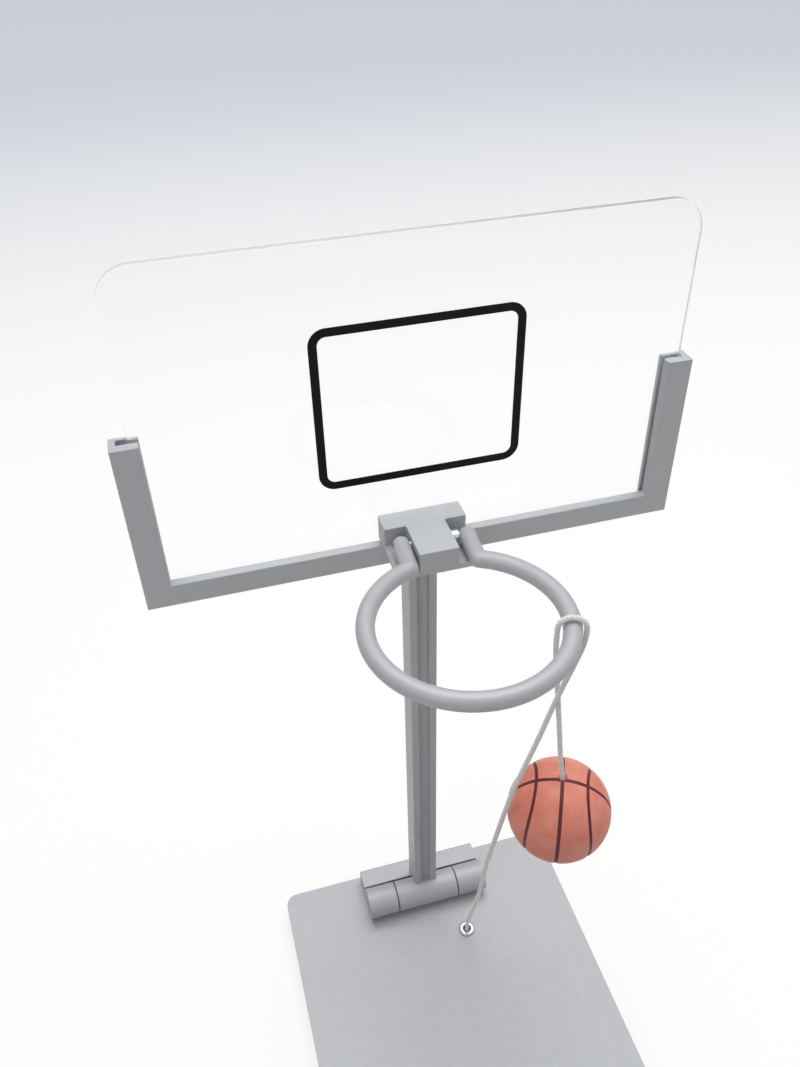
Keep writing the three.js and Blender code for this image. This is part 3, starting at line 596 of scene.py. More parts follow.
def ball_skin_material():
    """Salmon-orange rubber with a fine pebble, and dark paint in its seams."""
    finish, tree, shader, where = new_material("ball_skin")
    ball = settings().ball
    seam = wire(tree, "ShaderNodeAttribute", attribute_name="seam").outputs["Fac"]
    grain = grained(tree, where, 1500.0, 130.0)
    pebble = wire(tree, "ShaderNodeTexVoronoi", {
        "Vector": where, "Scale": 1700.0, "Randomness": 0.85},
        feature="SMOOTH_F1").outputs["Distance"]
    pale, deep = (shade([value * factor for value, factor in zip(ball.colour, factors)])
                  for factors in ((1.02, 1.2, 1.35), (0.92, 0.82, 0.76)))
    skin = blend_colours(tree, ramp(tree, grain["Mottle"], 0.3, 0.72), deep, pale)
    skin = blend_colours(tree, ramp(tree, pebble, 0.3, 0.75, 0.0, 0.22), skin, deep)
    ragged = plus(tree, seam, times(tree, minus(tree, grain["Pits"], 0.5), 0.35))
    skin = blend_colours(tree, ramp(tree, ragged, 0.32, 0.58), skin, shade(ball.seam_colour))
    height = minus(tree, times(tree, grain["Height"], 0.3), times(tree, pebble, 0.7))
    feed(tree, shader, {
        "Base Color": skin, "Roughness": ramp(tree, grain["Pits"], 0.3, 0.7, 0.5, 0.64),
        "Sheen Weight": 0.05, "Sheen Roughness": 0.5, "Normal": bump(tree, height, 0.05 * MM, 0.7)})
    return finish


def braided_thread_material():
    """Off-white twisted thread, each strand a slightly different shade."""
    finish, tree, shader, where = new_material("braided_thread")
    colour = settings().cord.colour
    strand = wire(tree, "ShaderNodeAttribute", attribute_name="strand").outputs["Fac"]
    fibres = noise(tree, where, 9000.0, 3.0, 0.7)
    soil = noise(tree, where, 110.0, 3.0)
    base = blend_colours(tree, ramp(tree, strand, 0.0, 1.0, 0.0, 0.35), shade(colour),
                         shade(colour, 0.93))
    base = blend_colours(tree, ramp(tree, fibres, 0.35, 0.7, 0.0, 0.08), base, shade(colour, 0.62))
    base = blend_colours(tree, ramp(tree, soil, 0.5, 0.8, 0.0, 0.08), base, shade(colour, 0.78))
    feed(tree, shader, {
        "Base Color": base, "Roughness": ramp(tree, fibres, 0.3, 0.7, 0.75, 0.95),
        "Sheen Weight": 1.0, "Sheen Roughness": 0.6, "Normal": bump(tree, fibres, 0.02 * MM, 0.6)})
    return finish


# Each finish's maker, and the record's material slot that it stands for
FINISHES = {
    "blasted_metal": (blasted_metal_material, "blasted_aluminium"),
    "plated_steel": (plated_steel_material, "steel"),
    "clear_acrylic": (clear_acrylic_material, "acrylic"),
    "printed_ink": (printed_ink_material, "outline_ink"),
    "black_rubber": (black_rubber_material, "black_rubber"),
    "ball_skin": (ball_skin_material, "ball_rubber"),
    "braided_thread": (braided_thread_material, "cord"),
}


def material(name):
    return bpy.data.materials.get(name) or FINISHES[name][0]()


# Mesh helpers


def as_object(name, mesh):
    piece = bpy.data.objects.new(name, mesh)
    bpy.context.scene.collection.objects.link(piece)
    return piece


def from_bmesh(name, shape):
    bmesh.ops.remove_doubles(shape, verts=shape.verts, dist=1e-7)
    bmesh.ops.recalc_face_normals(shape, faces=shape.faces)
    mesh = bpy.data.meshes.new(name)
    shape.to_mesh(mesh)
    shape.free()
    return as_object(name, mesh)


def placed(along, a, b, t):
    """A point t along an axis. The first two measures lie across it."""
    return {"z": (a, b, t), "y": (a, t, b), "x": (t, a, b)}[along]


def bridge(shape, one, two):
    """Faces between two loops of points."""
    for i in range(len(one)):
        j = (i + 1) % len(one)
        shape.faces.new((one[i], one[j], two[j], two[i]))


def prism(name, outline, low, high, along="z"):
    """A flat outline carried along an axis: (x, y) along z, (x, z) along y, or (y, z) along x."""
    shape = bmesh.new()
    rows = [[shape.verts.new(placed(along, a, b, t)) for a, b in outline] for t in (low, high)]
    for row in rows:
        shape.faces.new(row)
    bridge(shape, *rows)
    return from_bmesh(name, shape)


def slab(name, low, high):
    outline = [(low[0], low[1]), (high[0], low[1]), (high[0], high[1]), (low[0], high[1])]
    return prism(name, outline, low[2], high[2])


def arc(centre, radius, start, end, steps):
    """Points on an arc, with both its ends, angles in degrees."""
    angles = [math.radians(start + (end - start) * i / steps) for i in range(steps + 1)]
    return [(centre[0] + radius * math.cos(a), centre[1] + radius * math.sin(a)) for a in angles]


def rounded(x0, y0, x1, y1, low_radius, high_radius, steps=16):
    """A rectangle with round corners: one radius for the two low ones, one for the high ones."""
    points = []
    for x, y, radius, start in ((x1, y0, low_radius, 270), (x1, y1, high_radius, 0),
                                (x0, y1, high_radius, 90), (x0, y0, low_radius, 180)):
        if radius > 0:
            centre = (x - radius if x == x1 else x + radius, y - radius if y == y1 else y + radius)
            points += arc(centre, radius, start, start + 90, steps)
        else:
            points.append((x, y))
    return points


def turned(name, profile, centre, along="z", segments=SEGMENTS):
    """A profile of (radius, distance) turned about an axis through centre.

    Its ends lie on the axis, or it closes.
    """
    shape = bmesh.new()
    rings = []
    for radius, distance in profile:
        count = segments if radius > 1e-9 else 1
        angles = [FULL_TURN * i / segments for i in range(count)]
        rings.append([shape.verts.new(Vector(placed(
            along, radius * math.cos(a), radius * math.sin(a), distance)) + Vector(centre))
            for a in angles])
    closes = profile[0][0] > 1e-9
    pairs = list(zip(rings, rings[1:])) + ([(rings[-1], rings[0])] if closes else [])
    for one, two in pairs:
        for i in range(segments):
            j = (i + 1) % segments
            corners = [one[i % len(one)], one[j % len(one)], two[j % len(two)], two[i % len(two)]]
            shape.faces.new(list(dict.fromkeys(corners)))
    return from_bmesh(name, shape)


def rolled(radius, distance, edge, start, end, steps):
    """Points of a profile on a small round edge about (radius, distance)."""
    return [(radius + r, distance + t) for r, t in arc((0, 0), edge, start, end, steps)]


def cylinder(name, radius, low, high, centre, along="z", segments=SEGMENTS, edge=0.0):
    """A rod whose ends are broken by a small round edge."""
    if edge > 0:
        sides = rolled(radius - edge, low + edge, edge, -90, 0, 4)
        sides += rolled(radius - edge, high - edge, edge, 0, 90, 4)
    else:
        sides = [(radius, low), (radius, high)]
    return turned(name, [(0, low), *sides, (0, high)], centre, along, segments)


def collar(bore, outer, low, high, edge, lift=0.0):
    """The profile of a washer or spacer. Its low face is lifted off what it lies on."""
    return [(bore, low + lift), (outer - edge, low + lift), (outer, low + edge),
            (outer, high - edge), (outer - edge, high), (bore, high)]


def bake(piece):
    """The piece with its modifiers made into plain mesh."""
    evaluated = piece.evaluated_get(bpy.context.evaluated_depsgraph_get())
    mesh = bpy.data.meshes.new_from_object(evaluated)
    mesh.name = piece.name
    piece.modifiers.clear()
    old = piece.data
    piece.data = mesh
    bpy.data.meshes.remove(old)
    return piece


def combine(piece, others, operation="DIFFERENCE"):
    """Cuts the others from the piece, or joins them to it."""
    for other in others:
        modifier = piece.modifiers.new("shape", "BOOLEAN")
        modifier.operation = operation
        modifier.solver = "EXACT"
        modifier.object = other
    bake(piece)
    for other in others:
        bpy.data.objects.remove(other)
    return piece


def smooth(piece, angle):
    piece.data.shade_smooth()
    piece.data.set_sharp_from_angle(angle=math.radians(angle))
    return piece


def soften(piece, width, segments=3):
    """Breaks the sharp edges and shades the rest smooth."""
    bevel = piece.modifiers.new("broken edges", "BEVEL")
    bevel.width = width
    bevel.segments = segments
    bevel.limit_method = "ANGLE"
    bevel.angle_limit = math.radians(32)
    bevel.miter_outer = "MITER_ARC"
    bevel.use_clamp_overlap = True
    bevel.harden_normals = False
    smooth(bake(piece), 45)
    weighted = piece.modifiers.new("even shading", "WEIGHTED_NORMAL")
    weighted.keep_sharp = True
    return bake(piece)


def finish_piece(piece, finish, body, *nodes, place=None):
    """Gives a piece its material and body, and hides the frame's own solids."""
    if place is not None:
        piece.data.transform(place)
    piece.data.materials.clear()
    piece.data.materials.append(material(finish))
    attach(piece, body)
    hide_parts(*nodes)
    return piece


def steel_pin(name, radius, low, high, line, edge, segments, body, node, place=None):
    pin = cylinder(name, radius, low, high, line, "x", segments, edge)
    finish_piece(smooth(pin, 30), "plated_steel", body, node, place=place)


# Geometry Nodes


def new_tree(name, inputs):
    inputs = [("Geometry", GEOMETRY), *inputs, ("Material", MATERIAL)]
    return new_group(name, "GeometryNodeTree", inputs, [("Geometry", GEOMETRY)])


def end_tree(tree, given, result, geometry):
    """Realize Instances and Set Material close every tree."""
    real = wire(tree, "GeometryNodeRealizeInstances", {"Geometry": geometry}).outputs[0]
    feed(tree, result, {0: wire(tree, "GeometryNodeSetMaterial", {
        "Geometry": real, "Material": given["Material"]}).outputs[0]})
    return tree


def add_tree(piece, tree, values):
    modifier = piece.modifiers.new(tree.name, "NODES")
    modifier.node_group = tree
    for item in tree.interface.items_tree:
        if item.item_type == "SOCKET" and item.in_out == "INPUT" and item.name in values:
            modifier[item.identifier] = values[item.name]


def raised(tree, mesh, height):
    offset = wire(tree, "ShaderNodeCombineXYZ", {"Z": height}).outputs[0]
    return wire(tree, "GeometryNodeTransform", {"Geometry": mesh, "Translation": offset}).outputs[0]


def rod_mesh(tree, sides, radius, depth, height):
    """An upright cylinder whose middle is at that height."""
    mesh = wire(tree, "GeometryNodeMeshCylinder", {
        "Vertices": sides, "Radius": radius, "Depth": depth}).outputs["Mesh"]
    return raised(tree, mesh, height)


def screw_tree():
    """A socket-head screw, its seat at zero and its head upwards, on every point."""
    tree, given, result = new_tree("socket_screw", [
        ("Head radius", FLOAT, 2 * MM), ("Head height", FLOAT, 1 * MM),
        ("Head edge", FLOAT, 0.25 * MM), ("Socket radius", FLOAT, 1 * MM),
        ("Socket depth", FLOAT, 0.6 * MM), ("Shank radius", FLOAT, 1 * MM),
        ("Shank length", FLOAT, 4 * MM), ("Direction", VECTOR, (0, 0, 1)), ("Seed", INTEGER, 3)])
    head, edge = given["Head radius"], given["Head edge"]
    skirt_height = minus(tree, given["Head height"], edge)
    skirt = rod_mesh(tree, 40, head, skirt_height, times(tree, skirt_height, 0.5))
    crown = wire(tree, "GeometryNodeMeshCone", {
        "Vertices": 40, "Radius Bottom": head, "Radius Top": minus(tree, head, edge),
        "Depth": edge}).outputs["Mesh"]
    crown = raised(tree, crown, skirt_height)
    length = given["Shank length"]
    shank = rod_mesh(tree, 32, given["Shank radius"], plus(tree, length, edge),
                     times(tree, minus(tree, length, edge), -0.5))
    hexagon = rod_mesh(tree, 6, given["Socket radius"], times(tree, given["Socket depth"], 2.0),
                       given["Head height"])
    whole = wire(tree, "GeometryNodeMeshBoolean", operation="UNION", solver="EXACT")
    for mesh in (skirt, crown, shank):
        feed(tree, whole, {"Mesh 2": mesh})
    cut = wire(tree, "GeometryNodeMeshBoolean", {"Mesh 1": whole.outputs[0], "Mesh 2": hexagon},
               operation="DIFFERENCE", solver="EXACT")
    spin = wire(tree, "FunctionNodeRandomValue", {"Seed": given["Seed"]}, data_type="FLOAT")
    turn = wire(tree, "ShaderNodeCombineXYZ", {"Z": times(tree, spin.outputs[1], FULL_TURN)})
    aimed = wire(tree, "FunctionNodeAlignRotationToVector", {"Vector": given["Direction"]},
                 axis="Z")
    spun = wire(tree, "FunctionNodeRotateRotation", {
        "Rotation": aimed.outputs[0], "Rotate By": turn.outputs[0]}, rotation_space="LOCAL")
    heads = wire(tree, "GeometryNodeInstanceOnPoints", {
        "Points": given["Geometry"], "Instance": cut.outputs[0], "Rotation": spun.outputs[0]})
    return end_tree(tree, given, result, heads.outputs[0])


def screws(name, points, direction, sizes, body, *nodes, place=None):
    """One mesh that holds a screw at every point."""
    mesh = bpy.data.meshes.new(name)
    mesh.from_pydata([Vector(point) for point in points], [], [])
    piece = as_object(name, mesh)
    values = {label: size * MM for label, size in zip(SCREW_SIZES, sizes)}
    values.update({"Direction": direction, "Material": material("plated_steel")})
    add_tree(piece, bpy.data.node_groups.get("socket_screw") or screw_tree(), values)
    finish_piece(smooth(bake(piece), 30), "plated_steel", body, *nodes, place=place)


def braid_tree():
    """Strands that cross over and under each other along a path, round a core."""
    tree, given, result = new_tree("braided_cord", [
        ("Strands", INTEGER, 8), ("Step", FLOAT, 0.16 * MM), ("Lay", FLOAT, 3 * MM),
        ("Braid radius", FLOAT, 0.47 * MM), ("Weave", FLOAT, 0.04 * MM),
        ("Strand radius", FLOAT, 0.15 * MM), ("Core radius", FLOAT, 0.5 * MM)])
    path = wire(tree, "GeometryNodeResampleCurve", {
        "Curve": given["Geometry"], "Length": given["Step"]}, mode="LENGTH").outputs[0]
    copies = wire(tree, "GeometryNodeDuplicateElements", {
        "Geometry": path, "Amount": given["Strands"]}, domain="SPLINE")
    number = copies.outputs["Duplicate Index"]
    along = wire(tree, "GeometryNodeSplineParameter").outputs["Length"]
    tangent = wire(tree, "GeometryNodeInputTangent").outputs[0]
    normal = wire(tree, "GeometryNodeInputNormal").outputs[0]
    side = vector_maths(tree, "CROSS_PRODUCT", {0: tangent, 1: normal})
    hand = minus(tree, 1.0, times(tree, maths(tree, "MODULO", number, 2.0), 2.0))
    turns = times(tree, maths(tree, "DIVIDE", along, given["Lay"]), FULL_TURN)
    pairs = times(tree, given["Strands"], 0.5)
    share = maths(tree, "DIVIDE", maths(tree, "FLOOR", times(tree, number, 0.5)), pairs)
    angle = plus(tree, times(tree, turns, hand), times(tree, share, FULL_TURN))
    lift = times(tree, maths(tree, "COSINE", times(tree, turns, pairs)), hand)
    reach = plus(tree, given["Braid radius"], times(tree, lift, given["Weave"]))
    parts = []
    for across, wave in ((normal, "COSINE"), (side, "SINE")):
        length = times(tree, maths(tree, wave, angle), reach)
        parts.append(vector_maths(tree, "SCALE", {0: across, "Scale": length}))
    offset = vector_maths(tree, "ADD", {0: parts[0], 1: parts[1]})
    strands = wire(tree, "GeometryNodeSetPosition", {
        "Geometry": copies.outputs[0], "Offset": offset}).outputs[0]
    tone = maths(tree, "FRACT", times(tree, number, 0.382))
    strands = wire(tree, "GeometryNodeStoreNamedAttribute", {
        "Geometry": strands, "Name": "strand", "Value": tone}, data_type="FLOAT",
        domain="POINT").outputs[0]
    joined = wire(tree, "GeometryNodeJoinGeometry")
    for curve, radius, sides in ((strands, given["Strand radius"], 6),
                                 (path, given["Core radius"], 8)):
        section = wire(tree, "GeometryNodeCurvePrimitiveCircle", {
            "Resolution": sides, "Radius": radius}).outputs[0]
        feed(tree, joined, {0: wire(tree, "GeometryNodeCurveToMesh", {
            "Curve": curve, "Profile Curve": section, "Fill Caps": True}).outputs[0]})
    return end_tree(tree, given, result, joined.outputs[0])


def smooth_route(route):
    """Points on one smooth curve through a route, at about even steps."""
    origin = Vector((0, FRAME_LOW.y, FRAME_LOW.z))
    points = [origin + Vector(point) * MM for point in route]
    points = [2 * points[0] - points[1], *points, 2 * points[-1] - points[-2]]
    line = []
    for before, start, end, after in zip(points, points[1:], points[2:], points[3:]):
        first, span, last = (max((b - a).length, 1e-9) ** 0.5
                             for a, b in ((before, start), (start, end), (end, after)))
        step = end - start
        leave = (start - before) / first - (end - before) / (first + span) + step / span
        arrive = step / span - (after - start) / (span + last) + (after - end) / last
        leave, arrive = leave * span, arrive * span
        count = max(2, round(step.length / ROUTE_STEP))
        for i in range(count):
            t = i / count
            line.append(start + leave * t + (3 * step - 2 * leave - arrive) * t ** 2
                        + (leave - 2 * step + arrive) * t ** 3)
    return line + [points[-2]]


def braid(name, line):
    curve = bpy.data.curves.new(name, "CURVE")
    curve.dimensions = "3D"
    curve.twist_mode = "MINIMUM"
    spline = curve.splines.new("POLY")
    spline.points.add(len(line) - 1)
    for point, place in zip(spline.points, line):
        point.co = (*place, 1)
    source = as_object(name + "_path", curve)
    cord = settings().cord
    add_tree(source, bpy.data.node_groups.get("braided_cord") or braid_tree(),
             {"Strands": cord.strands, "Lay": cord.lay, "Material": material("braided_thread")})
    evaluated = source.evaluated_get(bpy.context.evaluated_depsgraph_get())
    mesh = bpy.data.meshes.new_from_object(evaluated)
    bpy.data.objects.remove(source)
    bpy.data.curves.remove(curve)
    mesh.name = name
    return smooth(as_object(name, mesh), 50)


# Operators


class HoopOperator:
    """What every operator of this file shares."""

    bl_options = {"REGISTER", "UNDO"}

    def execute(self, context):
        self.build()
        return {"FINISHED"}


class DESKHOOP_OT_camera(HoopOperator, bpy.types.Operator):
    """Place the camera at the photograph's viewpoint"""

    bl_idname = "deskhoop.camera"
    bl_label = "Camera"

    def build(self):
        data = bpy.data.cameras.new("photo_camera")
        camera = as_object("photo_camera", data)
        data.sensor_fit = "VERTICAL"
        data.sensor_height = CAMERA_SENSOR
        data.lens = CAMERA_LENS
        data.clip_start = 0.01
        data.clip_end = 20
        up = CAMERA_RIGHT.cross(CAMERA_FORWARD).normalized()
        right = CAMERA_FORWARD.cross(up)
        turn = Matrix((right, up, -CAMERA_FORWARD)).transposed()
        camera.matrix_world = Matrix.Translation(CAMERA_PLACE) @ turn.to_4x4()
        bpy.context.scene.camera = camera


class DESKHOOP_OT_cord(HoopOperator, bpy.types.Operator):
    """Braid the cord from its knot under the plate, over the ring and down to the ball"""

    bl_idname = "deskhoop.cord"
    bl_label = "Cord"

    def build(self):
        low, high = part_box("cord_anchor_knot")
        centre = middle(low, high)
        radius = (high.x - low.x) / 2
        profile = rolled(0, low.z + radius, radius, -90, 60, 20)
        profile += [(CORD_RADIUS, low.z + 2 * radius), (CORD_RADIUS, high.z - KNOT_TIP),
                    (CORD_RADIUS - KNOT_TIP, high.z), (0, high.z)]
        knot = smooth(turned("cord_knot", profile, (centre.x, centre.y, 0), segments=32), 60)
        finish_piece(knot, "braided_thread", "base", "cord_anchor_knot")

        run_line = smooth_route(CORD_RUN_ROUTE)
        run = braid("cord_run_braid", run_line)
        finish_piece(run, "braided_thread", "cord", "cord_run")

        drop_line = smooth_route(CORD_DROP_ROUTE)
        drop = braid("cord_drop_braid", drop_line)
        finish_piece(drop, "braided_thread", "ball", "cord_drop")


class DESKHOOP_OT_base(HoopOperator, bpy.types.Operator):
    """Make the base plate, its feet and the cord's grommet"""

    bl_idname = "deskhoop.base"
    bl_label = "Base plate"

    def build(self):
        centre = middle(GROMMET_LOW, GROMMET_HIGH)
        cord_hole = (centre.x, centre.y, 0)
        plate = prism("base_plate_milled", rounded(
            *PLATE_LOW.xy, *PLATE_HIGH.xy, PLATE_CORNER, PLATE_CORNER), PLATE_LOW.z, PLATE_TOP)
        below = PLATE_LOW.z - CUT
        pocket_top = PLATE_LOW.z + KNOT_POCKET_DEPTH
        cutters = [
            cylinder("pocket", KNOT_POCKET_RADIUS, below, pocket_top, cord_hole),
            cylinder("sleeve_hole", SLEEVE_HOLE, below, PLATE_TOP + CUT, cord_hole),
        ]
        for x in (-BLOCK_SCREW_X, BLOCK_SCREW_X):
            cutters.append(cylinder(
                "counterbore", (BLOCK_SCREW[0] + 0.3) * MM, below, PLATE_LOW.z + COUNTERBORE_DEPTH,
                (x, BLOCK_HIGH.y - BLOCK_DEPTH / 2, 0)))
        soften(combine(plate, cutters), PLATE_EDGE, 4)
        finish_piece(plate, "blasted_metal", "base", "base_plate")
        for corner in ("front_left", "front_right", "rear_left", "rear_right"):
            self.build_foot(corner)
        self.build_grommet(cord_hole)

    def build_foot(self, corner):
        low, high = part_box("foot_" + corner)
        centre = middle(low, high)
        radius = (high.x - low.x) / 2
        grooves = ((0, 1), (0.3, 1), (0.34, 0), (0.62, 0), (0.66, 1), (0.72, 1), (0.76, 0))
        profile = [(radius * share, FOOT_GROOVE * deep) for share, deep in grooves]
        profile += rolled(radius - FOOT_EDGE, FOOT_EDGE, FOOT_EDGE, -90, 0, 6)
        profile += [(radius * 0.97, high.z), (0, high.z)]
        foot = turned("rubber_foot_" + corner, profile, (centre.x, centre.y, 0), segments=48)
        finish_piece(smooth(foot, 40), "black_rubber", "base", "foot_" + corner)

    def build_grommet(self, centre):
        rim = (GROMMET_HIGH.x - GROMMET_LOW.x) / 2
        top, sleeve = GROMMET_HIGH.z, GROMMET_BORE + GROMMET_SLEEVE
        seat = PLATE_TOP + GROMMET_LIFT
        roll = (top - PLATE_TOP) / 2
        profile = [(GROMMET_BORE, GROMMET_LOW.z)]
        profile += rolled(GROMMET_BORE + roll, top - roll, roll, 180, 90, 8)
        profile += rolled(rim - roll, top - roll, roll, 90, 0, 8)
        profile += [(rim, seat), (sleeve, seat), (sleeve, GROMMET_LOW.z)]
        eyelet = smooth(turned("rolled_grommet", profile, centre, segments=48), 50)
        finish_piece(eyelet, "plated_steel", "base", "cord_grommet")


class DESKHOOP_OT_hinge(HoopOperator, bpy.types.Operator):
    """Make the hinge block, its pin and the mast's knuckle"""

    bl_idname = "deskhoop.hinge"
    bl_label = "Hinge"

    def build(self):
        edge = settings().metal.edge
        axis = FOLD_LINE.yz
        back = BLOCK_HIGH.y
        meets = math.degrees(math.asin((BLOCK_TOP - axis[1]) / BARREL_RELIEF))
        outline = [(back, PLATE_TOP), (back, BLOCK_TOP - BLOCK_CHAMFER),
                   (back - BLOCK_CHAMFER, BLOCK_TOP)]
        outline += arc(axis, BARREL_RELIEF, meets, 0, 6) + arc(axis, BARREL_RADIUS, 0, 270, 60)
        outline += [(axis[0], PLATE_TOP)]
        block = prism("hinge_block_milled", outline, BLOCK_LOW.x, BLOCK_HIGH.x, "x")
        front, under, over = axis[0] - 2 * BARREL_RELIEF, PLATE_TOP - CUT, BLOCK_HIGH.z + CUT
        notch = arc(axis, BARREL_RELIEF, 90, -66, 40)
        notch += [(notch[-1][0], under), (front, under), (front, over), (axis[0], over)]
        combine(block, [
            prism("notch", notch, -KNUCKLE_INNER_X, KNUCKLE_INNER_X, "x"),
            cylinder("bore", PIN_BORE, BLOCK_LOW.x - CUT, BLOCK_HIGH.x + CUT, FOLD_LINE, "x")])
        finish_piece(soften(block, edge), "blasted_metal", "base", "hinge_block")

        steel_pin("hinge_rod", (HINGE_PIN_HIGH.z - HINGE_PIN_LOW.z) / 2, HINGE_PIN_LOW.x,
                  HINGE_PIN_HIGH.x, FOLD_LINE, HINGE_PIN_EDGE, SEGMENTS, "base", "hinge_pin")

        low, high = KNUCKLE_LOW.x, KNUCKLE_HIGH.x
        barrel = cylinder("mast_knuckle_turned", BARREL_RADIUS, low, high, FOLD_LINE, "x")
        seat = slab("seat", (-MAST_SEAT_WIDTH / 2, FOLD_LINE.y, BLOCK_TOP + MAST_SEAT_OVER_BLOCK),
                    (MAST_SEAT_WIDTH / 2, MAST_HIGH.y, MAST_LOW.z - MAST_SEAT_BELOW))
        combine(barrel, [seat], "UNION")
        combine(barrel, [cylinder("bore", PIN_BORE, low - CUT, high + CUT, FOLD_LINE, "x")])
        finish_piece(soften(barrel, edge), "blasted_metal", "mast", "mast_knuckle")

        screws("block_screws", [(x, back - BLOCK_DEPTH / 2, PLATE_LOW.z + COUNTERBORE_DEPTH)
                                for x in (-BLOCK_SCREW_X, BLOCK_SCREW_X)],
               (0, 0, -1), BLOCK_SCREW, "base", "hinge_block_screw_left", "hinge_block_screw_right")


class DESKHOOP_OT_mast(HoopOperator, bpy.types.Operator):
    """Make the grooved mast and its screws"""

    bl_idname = "deskhoop.mast"
    bl_label = "Mast"

    def build(self):
        low, high = MAST_LOW, MAST_HIGH
        mast = slab("mast_bar", low, high)
        groove = cylinder("groove", MAST_GROOVE_RADIUS, low.z - CUT, FRAME_LOW.z - MAST_GROOVE_TOP,
                          (0, low.y, 0))
        fork = slab("fork", (low.x - CUT, FRAME_LOW.y - FORK_PLAY, FRAME_LOW.z - FORK_PLAY),
                    (high.x + CUT, FRAME_HIGH.y + FORK_PLAY, high.z + CUT))
        soften(combine(mast, [groove, fork]), settings().metal.edge)
        finish_piece(mast, "blasted_metal", "mast", "mast")

        screw_height = middle(*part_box("frame_screw")).z
        screws("frame_fixing_screw", [(0, high.y + SEAT_GAP, screw_height)], (0, 1, 0), FRAME_SCREW,
               "mast", "frame_screw")
        foot_low, foot_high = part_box("mast_foot_screw")
        foot = middle(foot_low, foot_high)
        screws("mast_fixing_screw", [(foot.x, foot.y, foot_low.z + MAST_SCREW_SEAT)], (0, 0, -1),
               MAST_SCREW, "mast", "mast_foot_screw")


class DESKHOOP_OT_board(HoopOperator, bpy.types.Operator):
    """Make the board frame, the clear panel and its outline"""

    bl_idname = "deskhoop.board"
    bl_label = "Backboard"

    def build(self):
        low, high = FRAME_LOW, FRAME_HIGH
        left, right, floor = low.x + FRAME_ARM, high.x - FRAME_ARM, low.z + FRAME_BAR
        outline = [(low.x, low.z), (high.x, low.z), (high.x, high.z), (right, high.z),
                   (right, floor), (left, floor), (left, high.z), (low.x, high.z)]
        board = prism("board_frame_milled", outline, low.y, high.y, "y")
        slot_front = low.y + SLOT_FRONT_LIP
        slot = slab("slot", (low.x + FRAME_SIDE_WALL, slot_front, low.z + FRAME_FLOOR),
                    (high.x - FRAME_SIDE_WALL, slot_front + SLOT_WIDTH, high.z + CUT))
        rear_lip = slab("rear_lip", (left, slot_front, floor - REAR_LIP_DROP),
                        (right, high.y + CUT, high.z + CUT))
        soften(combine(board, [slot, rear_lip]), settings().metal.edge * 0.75)
        finish_piece(board, "blasted_metal", "mast", "board_frame")

        panel = prism("clear_panel", rounded(
            PANEL_LOW.x, PANEL_LOW.z, PANEL_HIGH.x, PANEL_HIGH.z, 0, PANEL_CORNER, 24),
            PANEL_LOW.y, PANEL_HIGH.y, "y")
        finish_piece(soften(panel, settings().board.edge, 2), "clear_acrylic", "mast", "backboard")

        low, high = TARGET_LOW, TARGET_HIGH
        outer, inner = (
            rounded(low.x + inset, low.z + inset, high.x - inset, high.z - inset,
                    TARGET_CORNER - inset, TARGET_CORNER - inset) for inset in (0, TARGET_LINE))
        shape = bmesh.new()
        back = high.y - FILM_GAP
        front = back - FILM_THICKNESS
        loops = [[shape.verts.new((x, y, z)) for x, z in points]
                 for points, y in ((outer, front), (outer, back), (inner, back), (inner, front))]
        for one, two in zip(loops, loops[1:] + loops[:1]):
            bridge(shape, one, two)
        target = smooth(from_bmesh("printed_outline", shape), 30)
        finish_piece(target, "printed_ink", "mast", "target_outline")


class DESKHOOP_OT_bracket(HoopOperator, bpy.types.Operator):
    """Make the ring's bracket with its screws and washers"""

    bl_idname = "deskhoop.bracket"
    bl_label = "Ring bracket"

    def build(self):
        low, high = BRACKET_LOW, BRACKET_HIGH
        front = low.y + NOSE_REACH
        nose = NOSE_WIDTH / 2
        outline = [(low.x, high.y), (low.x, front), (-nose, front), (-nose, low.y), (nose, low.y),
                   (nose, front), (high.x, front), (high.x, high.y)]
        bracket = prism("ring_bracket_milled", outline, low.z, high.z)
        ledge = slab("ledge", low, (high.x, high.y - MM, low.z + LEDGE_THICKNESS))
        combine(bracket, [ledge], "UNION")
        radius = (RING_PIN_HIGH.z - RING_PIN_LOW.z) / 2 + BORE_PLAY
        combine(bracket, [cylinder("bore", radius, low.x - CUT, high.x + CUT, RING_LINE, "x", 32)])
        soften(bracket, settings().metal.edge * 0.8)
        finish_piece(bracket, "blasted_metal", "mast", "ring_bracket")

        points = []
        for side in ("left", "right"):
            low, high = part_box("bracket_washer_" + side)
            centre = middle(low, high)
            profile = collar(
                WASHER_BORE, (high.x - low.x) / 2, low.y, high.y, WASHER_EDGE, SEAT_GAP)
            washer = turned("flat_washer_" + side, profile, (centre.x, 0, centre.z), "y", 40)
            finish_piece(smooth(washer, 40), "plated_steel", "mast", "bracket_washer_" + side)
            points.append((centre.x, high.y + SEAT_GAP, centre.z))
        screws("bracket_screws", points, (0, 1, 0), BRACKET_SCREW, "mast",
               "bracket_screw_left", "bracket_screw_right")


